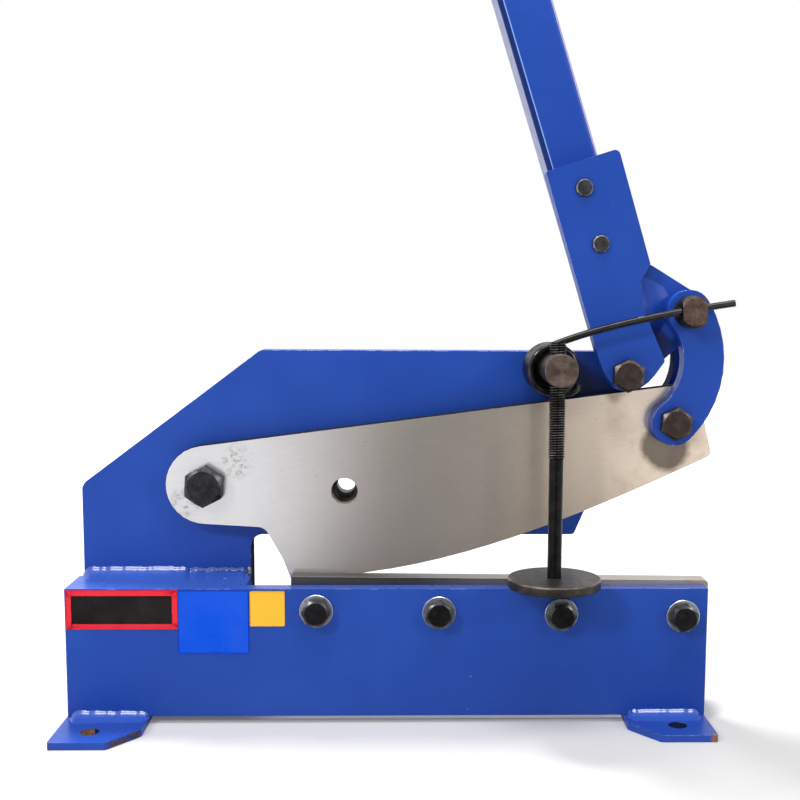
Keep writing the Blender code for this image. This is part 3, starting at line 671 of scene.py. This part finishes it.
def ease(piece, width_mm, face, edge, segments=2):
    """Gives the piece a finish and its bevelled edges another."""
    return round_edges(paint(piece, face, edge), width_mm, segments, 35, material=1)


def paint(piece, *materials):
    for material in materials:
        piece.data.materials.append(material)
    return piece


def paint_where(piece, material, test):
    """Paints faces that pass test(p, n), of their middle on the drawing and their normal."""
    paint(piece, material)
    for face in piece.data.polygons:
        if test(drawn(face.center), face.normal):
            face.material_index = len(piece.data.materials) - 1


def goes_on(piece, node, replaced=()):
    """Shades the finished piece and lets it move with the node's body."""
    pick(piece)
    bpy.ops.object.shade_smooth_by_angle(angle=radians(35))
    apply(piece, "WEIGHTED_NORMAL", keep_sharp=True, weight=60)
    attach(piece, home[node])
    if replaced:
        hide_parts(*replaced)


def stands_for(piece, *nodes):
    """The same, and it is shown in the place of these CAD nodes."""
    goes_on(piece, nodes[0], nodes)


# %% Boxes and turned bars
def box(name, middle, size, slope=0.0):
    """A box round a point in the model, in metres, turned in the upright plane."""
    bpy.ops.mesh.primitive_cube_add(size=1, location=middle, scale=size,
                                    rotation=(0, -radians(slope), 0))
    return settled(name)


def block(name, low, high):
    """A box between two corners of the drawing."""
    low, high = at(*low), at(*high)
    return box(name, (low + high) / 2, high - low)


AXES = {"Y": Vector((0, 1, 0)), "Z": Vector((0, 0, 1))}


def station(centre, position, axis):
    """A point at a position along the y or z axis through a centre, (x, z) or (x, y)."""
    x, other = centre
    return at(x, position, other) if axis == "Y" else at(x, other, position)


def turned(name, centre, stations, axis="Y", segments=64):
    """A closed round bar; stations are (position, radius) along the axis."""
    position, radius = stations[0]
    middle = station(centre, position, axis)
    bpy.ops.mesh.primitive_circle_add(
        vertices=segments, radius=radius * MM, fill_type="NGON", location=middle,
        rotation=(pi / 2 if axis == "Y" else 0, 0, 0))
    edit_all()
    for next_position, next_radius in stations[1:]:
        step = AXES[axis] * (next_position - position) * MM
        middle = middle + step
        extrude_to(step, next_radius / radius, middle)
        position, radius = next_position, next_radius
    close_outwards()
    return settled(name)


def extrude_to(step, grow, middle):
    """Extrudes the selected face by a step and scales it about a point."""
    bpy.ops.mesh.extrude_region_move(
        TRANSFORM_OT_translate={"value": step, "orient_type": "GLOBAL"})
    bpy.ops.transform.resize(value=(grow, grow, grow), center_override=middle)


# %% Hexagons
CHAMFER = tan(radians(30))


def hexagon(name, centre, across, front, back, turn, chamfer="front", finish=black_oxide,
            rubbed=black_corner, face=0.44):
    """A six-sided block, its corners turned off at the ends that chamfer names.

    That leaves a round face; its radius is face times the width across flats."""
    bpy.ops.mesh.primitive_cylinder_add(
        vertices=6, radius=across / sqrt(3) * MM, depth=(back - front) * MM,
        location=at(centre[0], (front + back) / 2, centre[1]),
        rotation=(pi / 2, -radians(turn - 30), 0))
    made = round_edges(settled(name), 0.35, 2, 50)
    corner = across / sqrt(3) + 0.4
    flat = across * face
    drop = (corner - flat) * CHAMFER
    low = [(front, flat - 0.25), (front + 0.08, flat), (front + drop, corner)]
    high = [(back - drop, corner), (back - 0.08, flat), (back, flat - 0.25)]
    low = low if chamfer in ("front", "both") else [(front - 1, corner)]
    high = high if chamfer in ("back", "both") else [(back + 1, corner)]
    cut(made, turned("cone", centre, low + high, segments=96), "INTERSECT")
    paint(made, finish)
    paint_where(made, rubbed, lambda p, n: 0.3 < abs(n.y) < 0.96)
    return made


# %% Threads
THREAD_DEPTH = 0.58  # of the pitch
THREAD_STEPS = 32  # in one turn
SPARE_TURNS = 2  # at each end, which are then cut off


def thread(name, centre, start, end, radius, pitch, axis="Y"):
    """A threaded bar with chamfered ends: one tooth is swept round the axis."""
    root = radius - THREAD_DEPTH * pitch
    tooth = [(radius, 0.0), (radius, 0.14), (root, 0.48), (root, 0.66), (radius, 1.0)]
    mesh = bpy.data.meshes.new(name)
    mesh.from_pydata([(r * MM, 0, share * pitch * MM) for r, share in tooth],
                     [(k, k + 1) for k in range(4)], [])
    bar = new_object(name, mesh)
    apply(bar, "SCREW", axis="Z", angle=2 * pi, screw_offset=pitch * MM,
          iterations=ceil((end - start) / pitch) + 2 * SPARE_TURNS, steps=THREAD_STEPS,
          render_steps=THREAD_STEPS, use_merge_vertices=True, merge_threshold=1e-6)
    place = Matrix.Translation(station(centre, start - SPARE_TURNS * pitch, axis))
    if axis == "Y":
        place = place @ Matrix.Rotation(-pi / 2, 4, "X")
    bar.data.transform(place)
    pick(bar)
    bpy.ops.object.mode_set(mode="EDIT")
    for position, inner in ((start - 0.3, True), (end + 0.3, False)):
        bpy.ops.mesh.select_all(action="SELECT")
        bpy.ops.mesh.bisect(plane_co=station(centre, position, axis), plane_no=AXES[axis],
                            use_fill=True, clear_inner=inner, clear_outer=not inner)
    close_outwards()
    chamfer = THREAD_DEPTH * pitch * 0.9
    blank = [(start, radius - chamfer), (start + chamfer, radius + 0.01),
             (end - chamfer, radius + 0.01), (end, radius - chamfer)]
    return cut(bar, turned("blank", centre, blank, axis), "INTERSECT")


# %% [markdown]
# ## The welded base
#
# Front plate, spacers and feet are flame cut, welded, and sprayed as one. The front plate and its
# spacers read as one box, so their copies are united. Edges carry the worn paint.

# %% Base box
BASE_TOP = 100.4
BASE_LONG = 461.8
base = copy_of("front_plate", "base_box")
for node, low, high in (("spacer_left", (0, -18, BASE_LOW), (127.6, -10, BASE_TOP)),
                        ("spacer_right", (428, -18, BASE_LOW), (BASE_LONG, -10, 51))):
    cut(base, copy_of(node, "spacer"), "UNION")
    cut(base, block("filler", low, high), "UNION")
ease(tidy_faces(base), 0.7, blue, blue_rubbed)
# painted light on the box's top faces
paint_where(base, lit_top_blue, lambda p, n: n.z > 0.9 and p.z > 99)
# the spacer's end face, matt and painted lighter
paint_where(base, matt_lit_blue, lambda p, n: n.x > 0.5 and 124 < p.x < 130)
stands_for(base, "front_plate", "spacer_left", "spacer_right")
print("base box", len(base.data.polygons), "faces")

# %% Feet
FOOT_HOLES = ((23.5, -56.3), (23.5, 58.3), (437.6, -47.2), (437.6, 68.8))


def in_foot_hole(p, n):
    near = min((Vector(p[:2]) - Vector(spot)).length for spot in FOOT_HOLES)
    return near < 7.5 and abs(n.z) < 0.4


foot = ease(copy_of("foot_left", "base_foot_left"), 0.8, blue, blue_edge_hard)
# painted shade on the walls of the bolt holes
paint_where(foot, hole_shade_blue, in_foot_hole)
# painted light on the foot's top face
paint_where(foot, lit_foot_top_blue, lambda p, n: n.z > 0.9)
paint_where(foot, cut_blue, lambda p, n: abs(n.z) < 0.4 and 0.2 < abs(n.x) < 0.98
            and not in_foot_hole(p, n))
paint_where(foot, rust, lambda p, n: in_foot_hole(p, n) and p.x < 26)
stands_for(foot, "foot_left")
foot = ease(copy_of("foot_right", "base_foot_right"), 0.8, tip_blue, blue_edge_hard)
# painted shade on the walls of the bolt holes
paint_where(foot, hole_shade_blue, in_foot_hole)
stands_for(foot, "foot_right")

# %% Main plate, with a seat for the bar hole's die
PLATE_FRONT = 15.6
PLATE_BACK = 35.6
THROUGH_PLATE = (14, 37)  # positions clear of both faces
DIE_AT = (199.0, 169.3)
# its front carries the painted shade round the post
plate = ease(copy_of("main_plate", "frame_plate"), 0.8, post_shade_blue, blue_edge)
cut(plate, turned("die_seat", DIE_AT, [(y, 13) for y in THROUGH_PLATE], segments=96))
paint_where(plate, blue, lambda p, n: n.y > -0.5 and p.z < 264)
# painted shade on the notch's side wall
paint_where(plate, painted_shade, lambda p, n: n.x > 0.3 and 110 < p.x < 140 and p.z < 160
            and abs(n.y) < 0.5)
stands_for(plate, "main_plate")
print("frame plate", len(plate.data.polygons), "faces")

# %% [markdown]
# ## Welds
#
# A fillet weld under thick glossy paint: a ridge against one plate, and paint run down from it in a
# long slope. The section is swept along the seam, each ring a little larger or smaller than the
# last, so the ridge wanders as a hand-run bead does.

# %% Sweeping a weld
SEAM = ((-1.0, -1.0), (-1.0, 5.0), (0.0, 5.2), (0.7, 5.2), (1.4, 4.8), (2.0, 4.1), (2.9, 3.2),
        (4.2, 2.3), (6.0, 1.5), (8.2, 0.8), (11.0, 0.25), (13.0, -0.1), (13.0, -1.0))
SEAM_WIDE = 13


def raised(width, height, lift):
    """The seam's section scaled, and its crest lifted."""
    return [(away * width, high * height + lift * (1 - away / SEAM_WIDE) if high > 0 else high)
            for away, high in SEAM]


def fillet(name, path, out, up, section, node, seed, wander=0.08, finish=None, step=1.8,
           ends=(0.3, 0.65, 0.88)):
    """A weld along a path on the drawing; the section is (out, up) from the seam."""
    rng = random.Random(seed)
    out, up = Vector(out), Vector(up)
    path = [Vector(point) for point in path]
    spots = [path[0]]
    for first, second in zip(path, path[1:]):
        count = max(1, round((second - first).length / step))
        spots += [first.lerp(second, (k + 1) / count) for k in range(count)]
    sizes = [1.0]
    for _ in spots[1:]:
        sizes.append(0.55 * sizes[-1] + 0.45 * rng.uniform(1 - 3 * wander, 1 + 3 * wander))
    for k, share in enumerate(ends):
        sizes[k] *= share
        sizes[-1 - k] *= share
    bpy.ops.mesh.primitive_circle_add(vertices=len(section), radius=MM, fill_type="NGON",
                                      location=(0, 0, 0))
    bead = bpy.context.object
    bead.name = name
    for vertex, (away, high) in zip(bead.data.vertices, section):
        vertex.co = at(*spots[0]) + (out * away + up * high) * sizes[0] * MM
    edit_all()
    for k in range(1, len(spots)):
        extrude_to(at(*spots[k]) - at(*spots[k - 1]), sizes[k] / sizes[k - 1], at(*spots[k]))
    close_outwards()
    paint(bead, finish or weld_blue)
    if not finish:
        # painted reflection: the slope away from the ridge is paler
        paint_where(bead, lit_slope_blue, lambda p, n: (p - path[0]).dot(out) > 2.8)
    pick(bead)
    bpy.ops.object.shade_smooth_by_angle(angle=radians(60))
    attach(bead, home[node])


# %% Welds of the base
FRONT, BACK, UP, RIGHT = (0, -1, 0), (0, 1, 0), (0, 0, 1), (1, 0, 0)
CHIP = ((-0.5, -1.6), (0.8, -1.4), (1.5, -0.5), (1.5, 0.5), (0.8, 1.3), (-0.5, 1.3))
FOOT_TOP = 6.0
fillet("weld_plate_foot", [(x, PLATE_FRONT, BASE_TOP) for x in (3, 85)], FRONT, UP,
       raised(1, 1, 2.4), "main_plate", 3, 0.03)
fillet("weld_plate_foot_end", [(x, PLATE_FRONT, BASE_TOP) for x in (76, 126)], FRONT, UP,
       raised(0.7, 0.8, 2.6), "main_plate", 4, 0.05, step=1.3)
fillet("weld_end", [(126.4, PLATE_FRONT, z) for z in (100.2, 108.0)], FRONT, RIGHT, CHIP,
       "main_plate", 10, 0.1, chipped_bead, step=1.0)
for name, ends, y, out, node, seed, wander in (
        ("weld_foot_left", (2, 59), FRONT_FACE, FRONT, "front_plate", 5, 0.06),
        ("weld_foot_right", (404.5, 459), FRONT_FACE, FRONT, "front_plate", 6, 0.05),
        ("weld_foot_left_back", (7, 54), PLATE_BACK, BACK, "main_plate", 7, 0.08),
        ("weld_foot_right_back", (407, 458), PLATE_BACK, BACK, "main_plate", 8, 0.08)):
    fillet(name, [(x, y, FOOT_TOP) for x in ends], out, UP, SEAM, node, seed, wander)
print("seven weld beads")

# %% [markdown]
# ## Blades
#
# The moving blade is ground flat; its edges are only broken with a stone, and their paler colour is
# partly a painted highlight line. Painted shade darkens its top edge. The bore for round bars has
# gone brown.

# %% Moving blade and lower blade
BAR_HOLE = (198.5, 166.9)
BORE_R = 9.8


def in_bar_hole(p, n):
    away = Vector((p.x - BAR_HOLE[0], p.z - BAR_HOLE[1])).length
    return away < BORE_R + 0.3 and abs(n.y) < 0.4


blade = ease(copy_of("moving_blade", "upper_blade"), 0.7, blade_steel, blade_edge)
paint_where(blade, bore_steel, in_bar_hole)
# painted shade along the blade's top edge, where it meets the plate
paint_where(blade, painted_shade, lambda p, n: n.z > 0.6 and not in_bar_hole(p, n))
stands_for(blade, "moving_blade")
die = turned("bar_die", DIE_AT, [(15.45, 12.7), (PLATE_FRONT, 13), (35.5, 13)], segments=96)
cut(die, turned("bore", DIE_AT, [(y, 6.7) for y in THROUGH_PLATE]))
cut(die, turned("step", (198.8, 166.0), [(14, 6.9), (21, 6.9)]))
goes_on(paint(die, die_steel), "main_plate")
stands_for(ease(copy_of("lower_blade", "bed_blade"), 0.45, blade_low, low_edge), "lower_blade")

# %% [markdown]
# ## Lever, lug, links and handle
#
# These are cut from plate and sprayed too. The handle is square tube; its rolled corners carry
# painted highlight lines and painted shade.

# %% Lever and link plates
LEVER_PIVOT = (401.5, 253.5)
LINK_FOOT = (436.6, 219.1)
LINK_TOP = (445.0, 298.7)
# the lug carries painted shade in its creases
for node, name, width, finish in (
        ("lever_cheek", "lever_plate", 0.8, blue), ("lever_lug", "lever_ear", 0.8, ear_shade_blue),
        ("front_link", "link_front", 0.9, blue), ("rear_link", "link_rear", 0.9, blue)):
    part = ease(copy_of(node, name), width, finish, blue_edge)
    if node == "rear_link":
        # painted shade on the rear link's inner side, in the gap between the links
        paint_where(part, painted_shade, lambda p, n: n.x < -0.2 and abs(n.y) < 0.4)
    stands_for(part, node)

# %% Handle tube and grip
TUBE_LEAN = radians(17.7)
TUBE_HALF = 18.75
HANDLE_BOLTS = ((380.5, 346.1), (368.1, 384.9))
tube = copy_of("handle_tube", "handle_bar")
x, z = HANDLE_BOLTS[0]
rounding = block("rounding", (x - TUBE_HALF, 0.2, z - 60), (x + TUBE_HALF, 36.2, z + 520))
round_edges(rounding, 4.2, 8, 50)
rounding.data.transform(Matrix.Translation(at(x, 0, z)) @ Matrix.Rotation(-TUBE_LEAN, 4, "Y")
                        @ Matrix.Translation(-at(x, 0, z)))
cut(tube, rounding, "INTERSECT")
ease(tidy_faces(tube), 0.5, blue, blue_edge)
paint_where(tube, tube_side, lambda p, n: n.x < -0.9)
# painted shade on the rolled corners
paint_where(tube, fold_shade_blue, lambda p, n: n.x < -0.2 and 0.05 < abs(n.y) <= 0.985)
# painted highlight along the left front corner
paint_where(tube, corner_highlight_blue, lambda p, n: n.x < -0.05 and 0.985 < abs(n.y) < 0.9985)
# painted highlight on the right corner
paint_where(tube, fold_highlight_blue, lambda p, n: n.x > 0.3 and 0.1 < abs(n.y) < 0.8)
stands_for(tube, "handle_tube")
grip = ease(copy_of("handle_grip", "grip_sleeve"), 1.2, grip_rubber, grip_rubber, segments=3)
stands_for(grip, "handle_grip")

# %% Weld between the lever's cheek and its lug
LEAN = radians(16.3)


def on_lever(right, up, y):
    """A drawing point right of the lever's middle line and up it, from its pivot."""
    return (LEVER_PIVOT[0] + right * cos(LEAN) - up * sin(LEAN), y,
            LEVER_PIVOT[1] + right * sin(LEAN) + up * cos(LEAN))


FLUSH = ((-4.0, -1.0), (-4.0, 11.0), (-0.5, 11.35), (2.0, 11.0), (5.0, 9.8), (8.0, 7.9),
         (11.0, 5.7), (14.0, 3.7), (17.0, 2.1), (20.5, 0.9), (24.0, 0.0), (24.0, -1.0))
EAR_SEAM = ((25.5, 66.0), (24.0, 57.0), (22.8, 45.0), (22.6, 16.0))
# the weld's enamel carries the same painted shade
fillet("weld_ear", [on_lever(right, up, 0.1) for right, up in EAR_SEAM],
       (cos(LEAN), 0, sin(LEAN)), FRONT, FLUSH, "lever_cheek", 9, 0.03, ear_shade_blue,
       step=3.5, ends=(0.05, 0.3, 0.52, 0.7, 0.84, 0.94))

# %% [markdown]
# ## Bolts, nuts and washers
#
# A hexagon with a turned 30 degree chamfer, and a rolled thread where the end passes its nut. The
# four blade bolts are one bolt copied, each turned differently, as a spanner leaves them.

# %% Blade bolts and their washers
def copied(piece, name, start, centre, turn):
    """A copy moved from one (x, z) to another, and turned there about y."""
    copy = new_object(name, piece.data.copy())
    shift = Vector((centre[0] - start[0], 0, centre[1] - start[1])) * MM
    middle = at(centre[0], 0, centre[1])
    copy.data.transform(
        Matrix.Translation(middle) @ Matrix.Rotation(-radians(turn), 4, "Y")
        @ Matrix.Translation(-middle) @ Matrix.Translation(shift))
    return copy


def washer(name, centre, front, outer, inner):
    """A pressed washer with a rounded rim."""
    soft, back = 0.35, front + 2.5
    ring = turned(name, centre, [(front, outer - soft), (front + soft, outer),
                                 (back - soft, outer), (back, outer - soft)])
    bore = [(front - 1, inner + 0.9), (front + 0.3, inner), (back + 1, inner)]
    return paint(cut(ring, turned("bore", centre, bore)), zinc)


BOLT_TURNS = (58, 22, 3, 15)
BLADE_BOLTS = [(179.4 + 88.1 * k, 84.5 - 1.33 * k) for k in range(4)]
start = BLADE_BOLTS[0]
bolt = hexagon("blade_screw_1", start, 18.0, -36.8, -29.3, BOLT_TURNS[0], face=0.45)
cut(bolt, turned("shank", start, [(-31, 6.0), (-1.6, 6.0), (-0.6, 5.0)]), "UNION")
bolts = [bolt]
rings = [washer("blade_screw_washer_1", start, -29.0, 12.0, 6.3)]
for k in (1, 2, 3):
    turn = BOLT_TURNS[k] - BOLT_TURNS[0]
    bolts.append(copied(bolt, "blade_screw_%d" % (k + 1), start, BLADE_BOLTS[k], turn))
    rings.append(copied(rings[0], "blade_screw_washer_%d" % (k + 1), start, BLADE_BOLTS[k],
                        40 * k))
for k in range(4):
    stands_for(bolts[k], "lower_blade_bolt_%d" % (k + 1))
    stands_for(rings[k], "lower_blade_washer_%d" % (k + 1))


# %% Pivot bolts, their nuts and washers
def through_bolt(name, node, centre, across, turn, head, shank, thread_from, end, pitch,
                 **looks):
    """A bolt from the front, its head between two positions, threaded at the back."""
    bolt = hexagon(name, centre, across, *head, turn, **looks)
    cut(bolt, turned("shank", centre, [(head[1] - 2, shank), (thread_from + 1, shank)]), "UNION")
    stands_for(joined(bolt, thread("end", centre, thread_from, end, shank, pitch)), node)


def nut(name, node, centre, across, turn, front, back, bore):
    """A nut, its bore chamfered at both ends."""
    made = hexagon(name, centre, across, front, back, turn, "both")
    cut(made, turned("bore", centre, [(front - 1, bore + 1.8), (front + 0.8, bore),
                                      (back - 0.8, bore), (back + 1, bore + 1.8)]))
    stands_for(made, node)


BROWN = {"finish": brown_steel, "rubbed": brown_corner, "face": 0.45}
LINK_HEAD = (-24.2, -15.4)
through_bolt("blade_bolt", "blade_pivot_bolt", BLADE_PIVOT, 26.5, 27, (-11.6, -0.1), 9.0, 36,
             51.5, 2.5)
through_bolt("lever_bolt", "lever_pivot_bolt", LEVER_PIVOT, 21.0, 28, LINK_HEAD, 7.0, 36, 51.0,
             2.0, **BROWN)
through_bolt("link_foot_bolt", "link_bolt", LINK_FOOT, 21.0, 24, LINK_HEAD, 7.0, 30, 45.0, 2.0,
             **BROWN)
nut("blade_nut", "blade_pivot_nut", BLADE_PIVOT, 27.0, 12, 38.7, 49.2, 9.3)
nut("lever_nut", "lever_pivot_nut", LEVER_PIVOT, 21.0, 20, 38.7, 48.7, 7.3)
nut("link_foot_nut", "link_nut", LINK_FOOT, 21.0, 0, 30.8, 41.8, 7.3)
nut("link_top_nut", "spring_pin_nut", LINK_TOP, 17.0, 15, 30.8, 39.2, 5.3)
stands_for(washer("blade_nut_washer", BLADE_PIVOT, 35.9, 17, 9.3), "blade_pivot_washer")
stands_for(washer("lever_nut_washer", LEVER_PIVOT, 35.9, 14, 7.3), "lever_pivot_washer")

# %% Handle bolts, put in from behind
lower, upper = HANDLE_BOLTS
bolt = hexagon("handle_screw_1", lower, 18.0, 36.5, 44.0, 10, "back")
cut(bolt, turned("shank", lower, [(-15.0, 6.0), (38.0, 6.0)]), "UNION")
joined(bolt, thread("end", lower, -17.9, -14.0, 6.0, 1.75))
paint_where(bolt, end_rim_and_glint, lambda p, n: p.y < -16.9)
paint_where(bolt, bolt_end, lambda p, n: p.y < -17.7)
second = copied(bolt, "handle_screw_2", lower, upper, 25)
stands_for(bolt, "handle_bolt_1")
stands_for(second, "handle_bolt_2")
print("bolts done")

# %% [markdown]
# ## Hold-down: post, screw and disc
#
# The post is a turned pin, cross-bored for the screw: an M12 rod, a true helix at the metric pitch
# of 1.75 mm above and plain below.

# %% Hold-down
SCREW = (POST[0], -40.2)  # x and y of the upright screw
post = turned("hold_post", POST, [(-62.2, 10.9), (-61.9, 11.3), (-61.4, 11.5), (15.3, 11.5),
                                  (15.3, 8.0), (36.0, 8.0)], segments=96)
cut(post, turned("bore", SCREW, [(240, 6.2), (280, 6.2)], "Z"))
joined(post, thread("end", POST, 35, 52, 8.0, 2.0))
paint(post, brown_side)
paint_where(post, post_face, lambda p, n: p.y < -61)
stands_for(post, "hold_down_post")
nut("post_nut", "hold_down_post_nut", POST, 24.0, 5, 35.9, 48.9, 8.3)

THREAD_FROM = 196.5
spindle = thread("screw_spindle", SCREW, THREAD_FROM, 277.9, 5.9, 1.75, "Z")
joined(spindle, turned("shank", SCREW, [(107.4, 4.6), (107.9, 5.0), (THREAD_FROM, 5.0),
                                        (197.0, 4.6), (200, 4.6)], "Z"))
paint(spindle, thread_steel)
paint_where(spindle, thread_crest, lambda p, n: p.z > 196
            and Vector((p.x - SCREW[0], p.y - SCREW[1])).length > 5.7)
stands_for(spindle, "hold_down_spindle")

SPRING_AT = (347.2, 257.8)
# a black sleeve inside the coil, so the gap between post and coil reads dark as shade
sleeve = turned("post_shade_sleeve", SPRING_AT, [(-4.0, 13.2), (-3.6, 13.6), (15.4, 13.6)])
cut(sleeve, turned("bore", POST, [(-5, 10.5), (17, 10.5)]))
goes_on(paint(sleeve, gap_shade_black), "hold_down_post")

disc = turned("hold_disc", SCREW, [(105.1, 32.0), (105.5, 32.7), (106.1, 33.0), (111.0, 33.0),
                                   (111.8, 32.7), (112.2, 32.0)], "Z", 128)
cut(disc, turned("socket", SCREW, [(107.1, 5.3), (112.0, 5.3), (113.0, 6.6)], "Z"))
paint(disc, disc_steel)
paint_where(disc, disc_edge, lambda p, n: p.z > 111.0 and n.z < 0.98)
stands_for(disc, "hold_down_foot")
print("spindle", len(spindle.data.polygons), "faces")

# %% [markdown]
# ## Torsion spring and its pin
#
# One round wire: coils on the post, then the bowed arm through the slot of the pin on the link.

# %% Drawing a wire
COIL_R = 16.4
COIL_PITCH = 6.2
COIL_STEP = 7.5  # degrees between the wire's points
WIRE_R = 2.5
ARM_PLANE = -27.4
LEAVE = 114.0  # degrees round the coil, where the arm leaves it
SPLIT = LEAVE + 560  # where the turns that swing end
BACK_END = 2110


def coil_point(angle):
    """A point on the wire; the coil winds back from the arm."""
    turn = radians(angle)
    return (SPRING_AT[0] + COIL_R * cos(turn),
            ARM_PLANE + COIL_PITCH * (angle - LEAVE) / 360,
            SPRING_AT[1] + COIL_R * sin(turn))


def coil_run(first, last):
    """Points on the coil from one angle to another."""
    count = round(abs(last - first) / COIL_STEP)
    return [coil_point(first + (last - first) * k / count) for k in range(count + 1)]


def wire(name, points):
    """A round wire through drawing points, as a mesh with closed ends."""
    curve = bpy.data.curves.new(name, "CURVE")
    curve.dimensions = "3D"
    curve.bevel_depth = WIRE_R * MM
    curve.bevel_resolution = 5
    curve.use_fill_caps = True
    curve.twist_mode = "MINIMUM"
    spline = curve.splines.new("POLY")
    spline.points.add(len(points) - 1)
    for spot, point in zip(spline.points, points):
        spot.co = (*at(*point), 1)
    pick(new_object(name, curve))
    bpy.ops.object.convert(target="MESH")
    return paint(tidy_faces(bpy.context.object, 0.01), wire_steel)


# %% Spring arm and fixed turns
BOW_STEPS = 36
bow_start, bow_corner, bow_end = Vector((0, 0)), Vector((382.4, 291.5)), Vector((473.7, 305.1))
bow_start.x, _, bow_start.y = coil_point(LEAVE)
arm_line = coil_run(SPLIT - 1.5, LEAVE)
for k in range(1, BOW_STEPS + 1):
    t = k / BOW_STEPS
    bow = bow_start * (1 - t) ** 2 + bow_corner * 2 * t * (1 - t) + bow_end * t * t
    arm_line.append((bow.x, ARM_PLANE, bow.y))
arm = wire("spring_long_arm", arm_line)
paint_where(arm, wire_end, lambda p, n: p.x > 472.6)
# painted highlight: a glint on top of the arm
paint_where(arm, end_rim_and_glint, lambda p, n: 406 < p.x < 411 and n.z > 0.6)
stands_for(arm, "spring_arm")

TAIL = ((1.0, 0.05), (2.0, 0.1), (3.0, 0.2), (4.3, 0.7), (5.5, 1.6), (6.4, 3.0), (7.0, 4.6),
        (7.5, 8.5))  # outwards and forwards from the coil's end
x, y, z = coil_point(BACK_END)
out = radians(BACK_END + 72)
tail = [(x + o * cos(out), y - f, z + o * sin(out)) for o, f in TAIL]
stands_for(wire("spring_fixed_turns", coil_run(SPLIT + 1.5, BACK_END) + tail), "spring_coil")
print("spring arm", len(arm.data.polygons), "faces")

# %% Spring pin, hook, and the cover of the front link's slot
PIN_FLATS = 17.0
PIN_TURN = 3.0
EYE_SLOPE = 9.9


def off(centre, distance, slope, y):
    """The model's point some way from (x, z) at a slope in degrees, at depth y."""
    way = radians(slope)
    return at(centre[0] + distance * cos(way), y, centre[1] + distance * sin(way))


pin = turned("link_top_pin", LINK_TOP, [
    (-32.2, 9.3), (-31.9, 9.8), (-30.7, 11.3), (-30.3, 11.5), (-15.4, 11.5), (-15.4, 6.0),
    (-0.4, 6.0), (0.4, 5.0), (31.0, 5.0)], segments=96)
for side in (1, -1):
    middle = off(LINK_TOP, side * (PIN_FLATS / 2 + 5), PIN_TURN, ARM_PLANE)
    cut(pin, box("slab", middle, Vector((10, 14, 30)) * MM, PIN_TURN))
eye = off(LINK_TOP, 1.7, 90 + EYE_SLOPE, ARM_PLANE)
cut(pin, box("slot", eye, Vector((28, 5.7, 10)) * MM, EYE_SLOPE))
joined(pin, thread("end", LINK_TOP, 30, 43.8, 5.0, 1.5))
round_edges(pin, 0.35, 2, 40)
paint(pin, brown_side)
paint_where(pin, pin_face, lambda p, n: p.y < -30 and n.y < -0.8)
stands_for(pin, "spring_pin")

HOOK = ((351.8, 241.6), (355.4, 241.0), (359.0, 241.2), (362.2, 242.6), (364.4, 244.8),
        (365.0, 247.4))
hook_line = [coil_point(LEAVE + 120 + 8 * k) for k in range(6)]
goes_on(wire("spring_hook", hook_line + [(x, -22.3, z) for x, z in HOOK]), "spring_coil")
slot_way = degrees(atan2(LEVER_PIVOT[1] - LINK_TOP[1], LEVER_PIVOT[0] - LINK_TOP[0]))
cover = box("slot_cover", off(LINK_TOP, 16.8, slot_way, 0.03), Vector((8, 0.16, 16)) * MM,
            slot_way)
goes_on(paint(cover, blue), "front_link")
print("pin", len(pin.data.polygons), "faces")

# %% [markdown]
# ## Blank name plates
#
# Printed films stick to the front. Here they stay blank: a red-edged black one, a bright blue one
# and a yellow one.

# %% Blank plates
FILM = 0.35


def film(name, x_range, z_range, material, corner=0.8):
    """A thin film on the front plate, rounded at its edges."""
    made = block(name, (x_range[0], FRONT_FACE - FILM, z_range[0]),
                 (x_range[1], FRONT_FACE + 0.2, z_range[1]))
    edit_all()
    bpy.ops.mesh.bevel(offset=corner * MM, segments=5)
    bpy.ops.object.mode_set(mode="OBJECT")
    return paint(made, material)


BORDER = 3.6
NAME_X, NAME_Z = (0.8, 80.4), (71.0, 99.6)
name_blank = film("film_name_blank", NAME_X, NAME_Z, label_red)
edit_where(name_blank, "FACE", lambda face: face.normal.y < -0.9)
bpy.ops.mesh.inset(thickness=BORDER * MM, depth=0, use_even_offset=True)
close_points()
paint_where(name_blank, label_black, lambda p, n: n.y < -0.9
            and NAME_X[0] + BORDER * 0.9 < p.x < NAME_X[1] - BORDER * 0.9
            and NAME_Z[0] + BORDER * 0.9 < p.z < NAME_Z[1] - BORDER * 0.9)
goes_on(name_blank, "front_plate")
goes_on(film("film_blue_blank", (80.6, 130.9), (53.3, 99.2), label_blue), "front_plate")
goes_on(film("film_yellow_blank", (131.8, 156.9), (73.2, 98.9), label_yellow, 1.0),
        "front_plate")
print("three blank films")
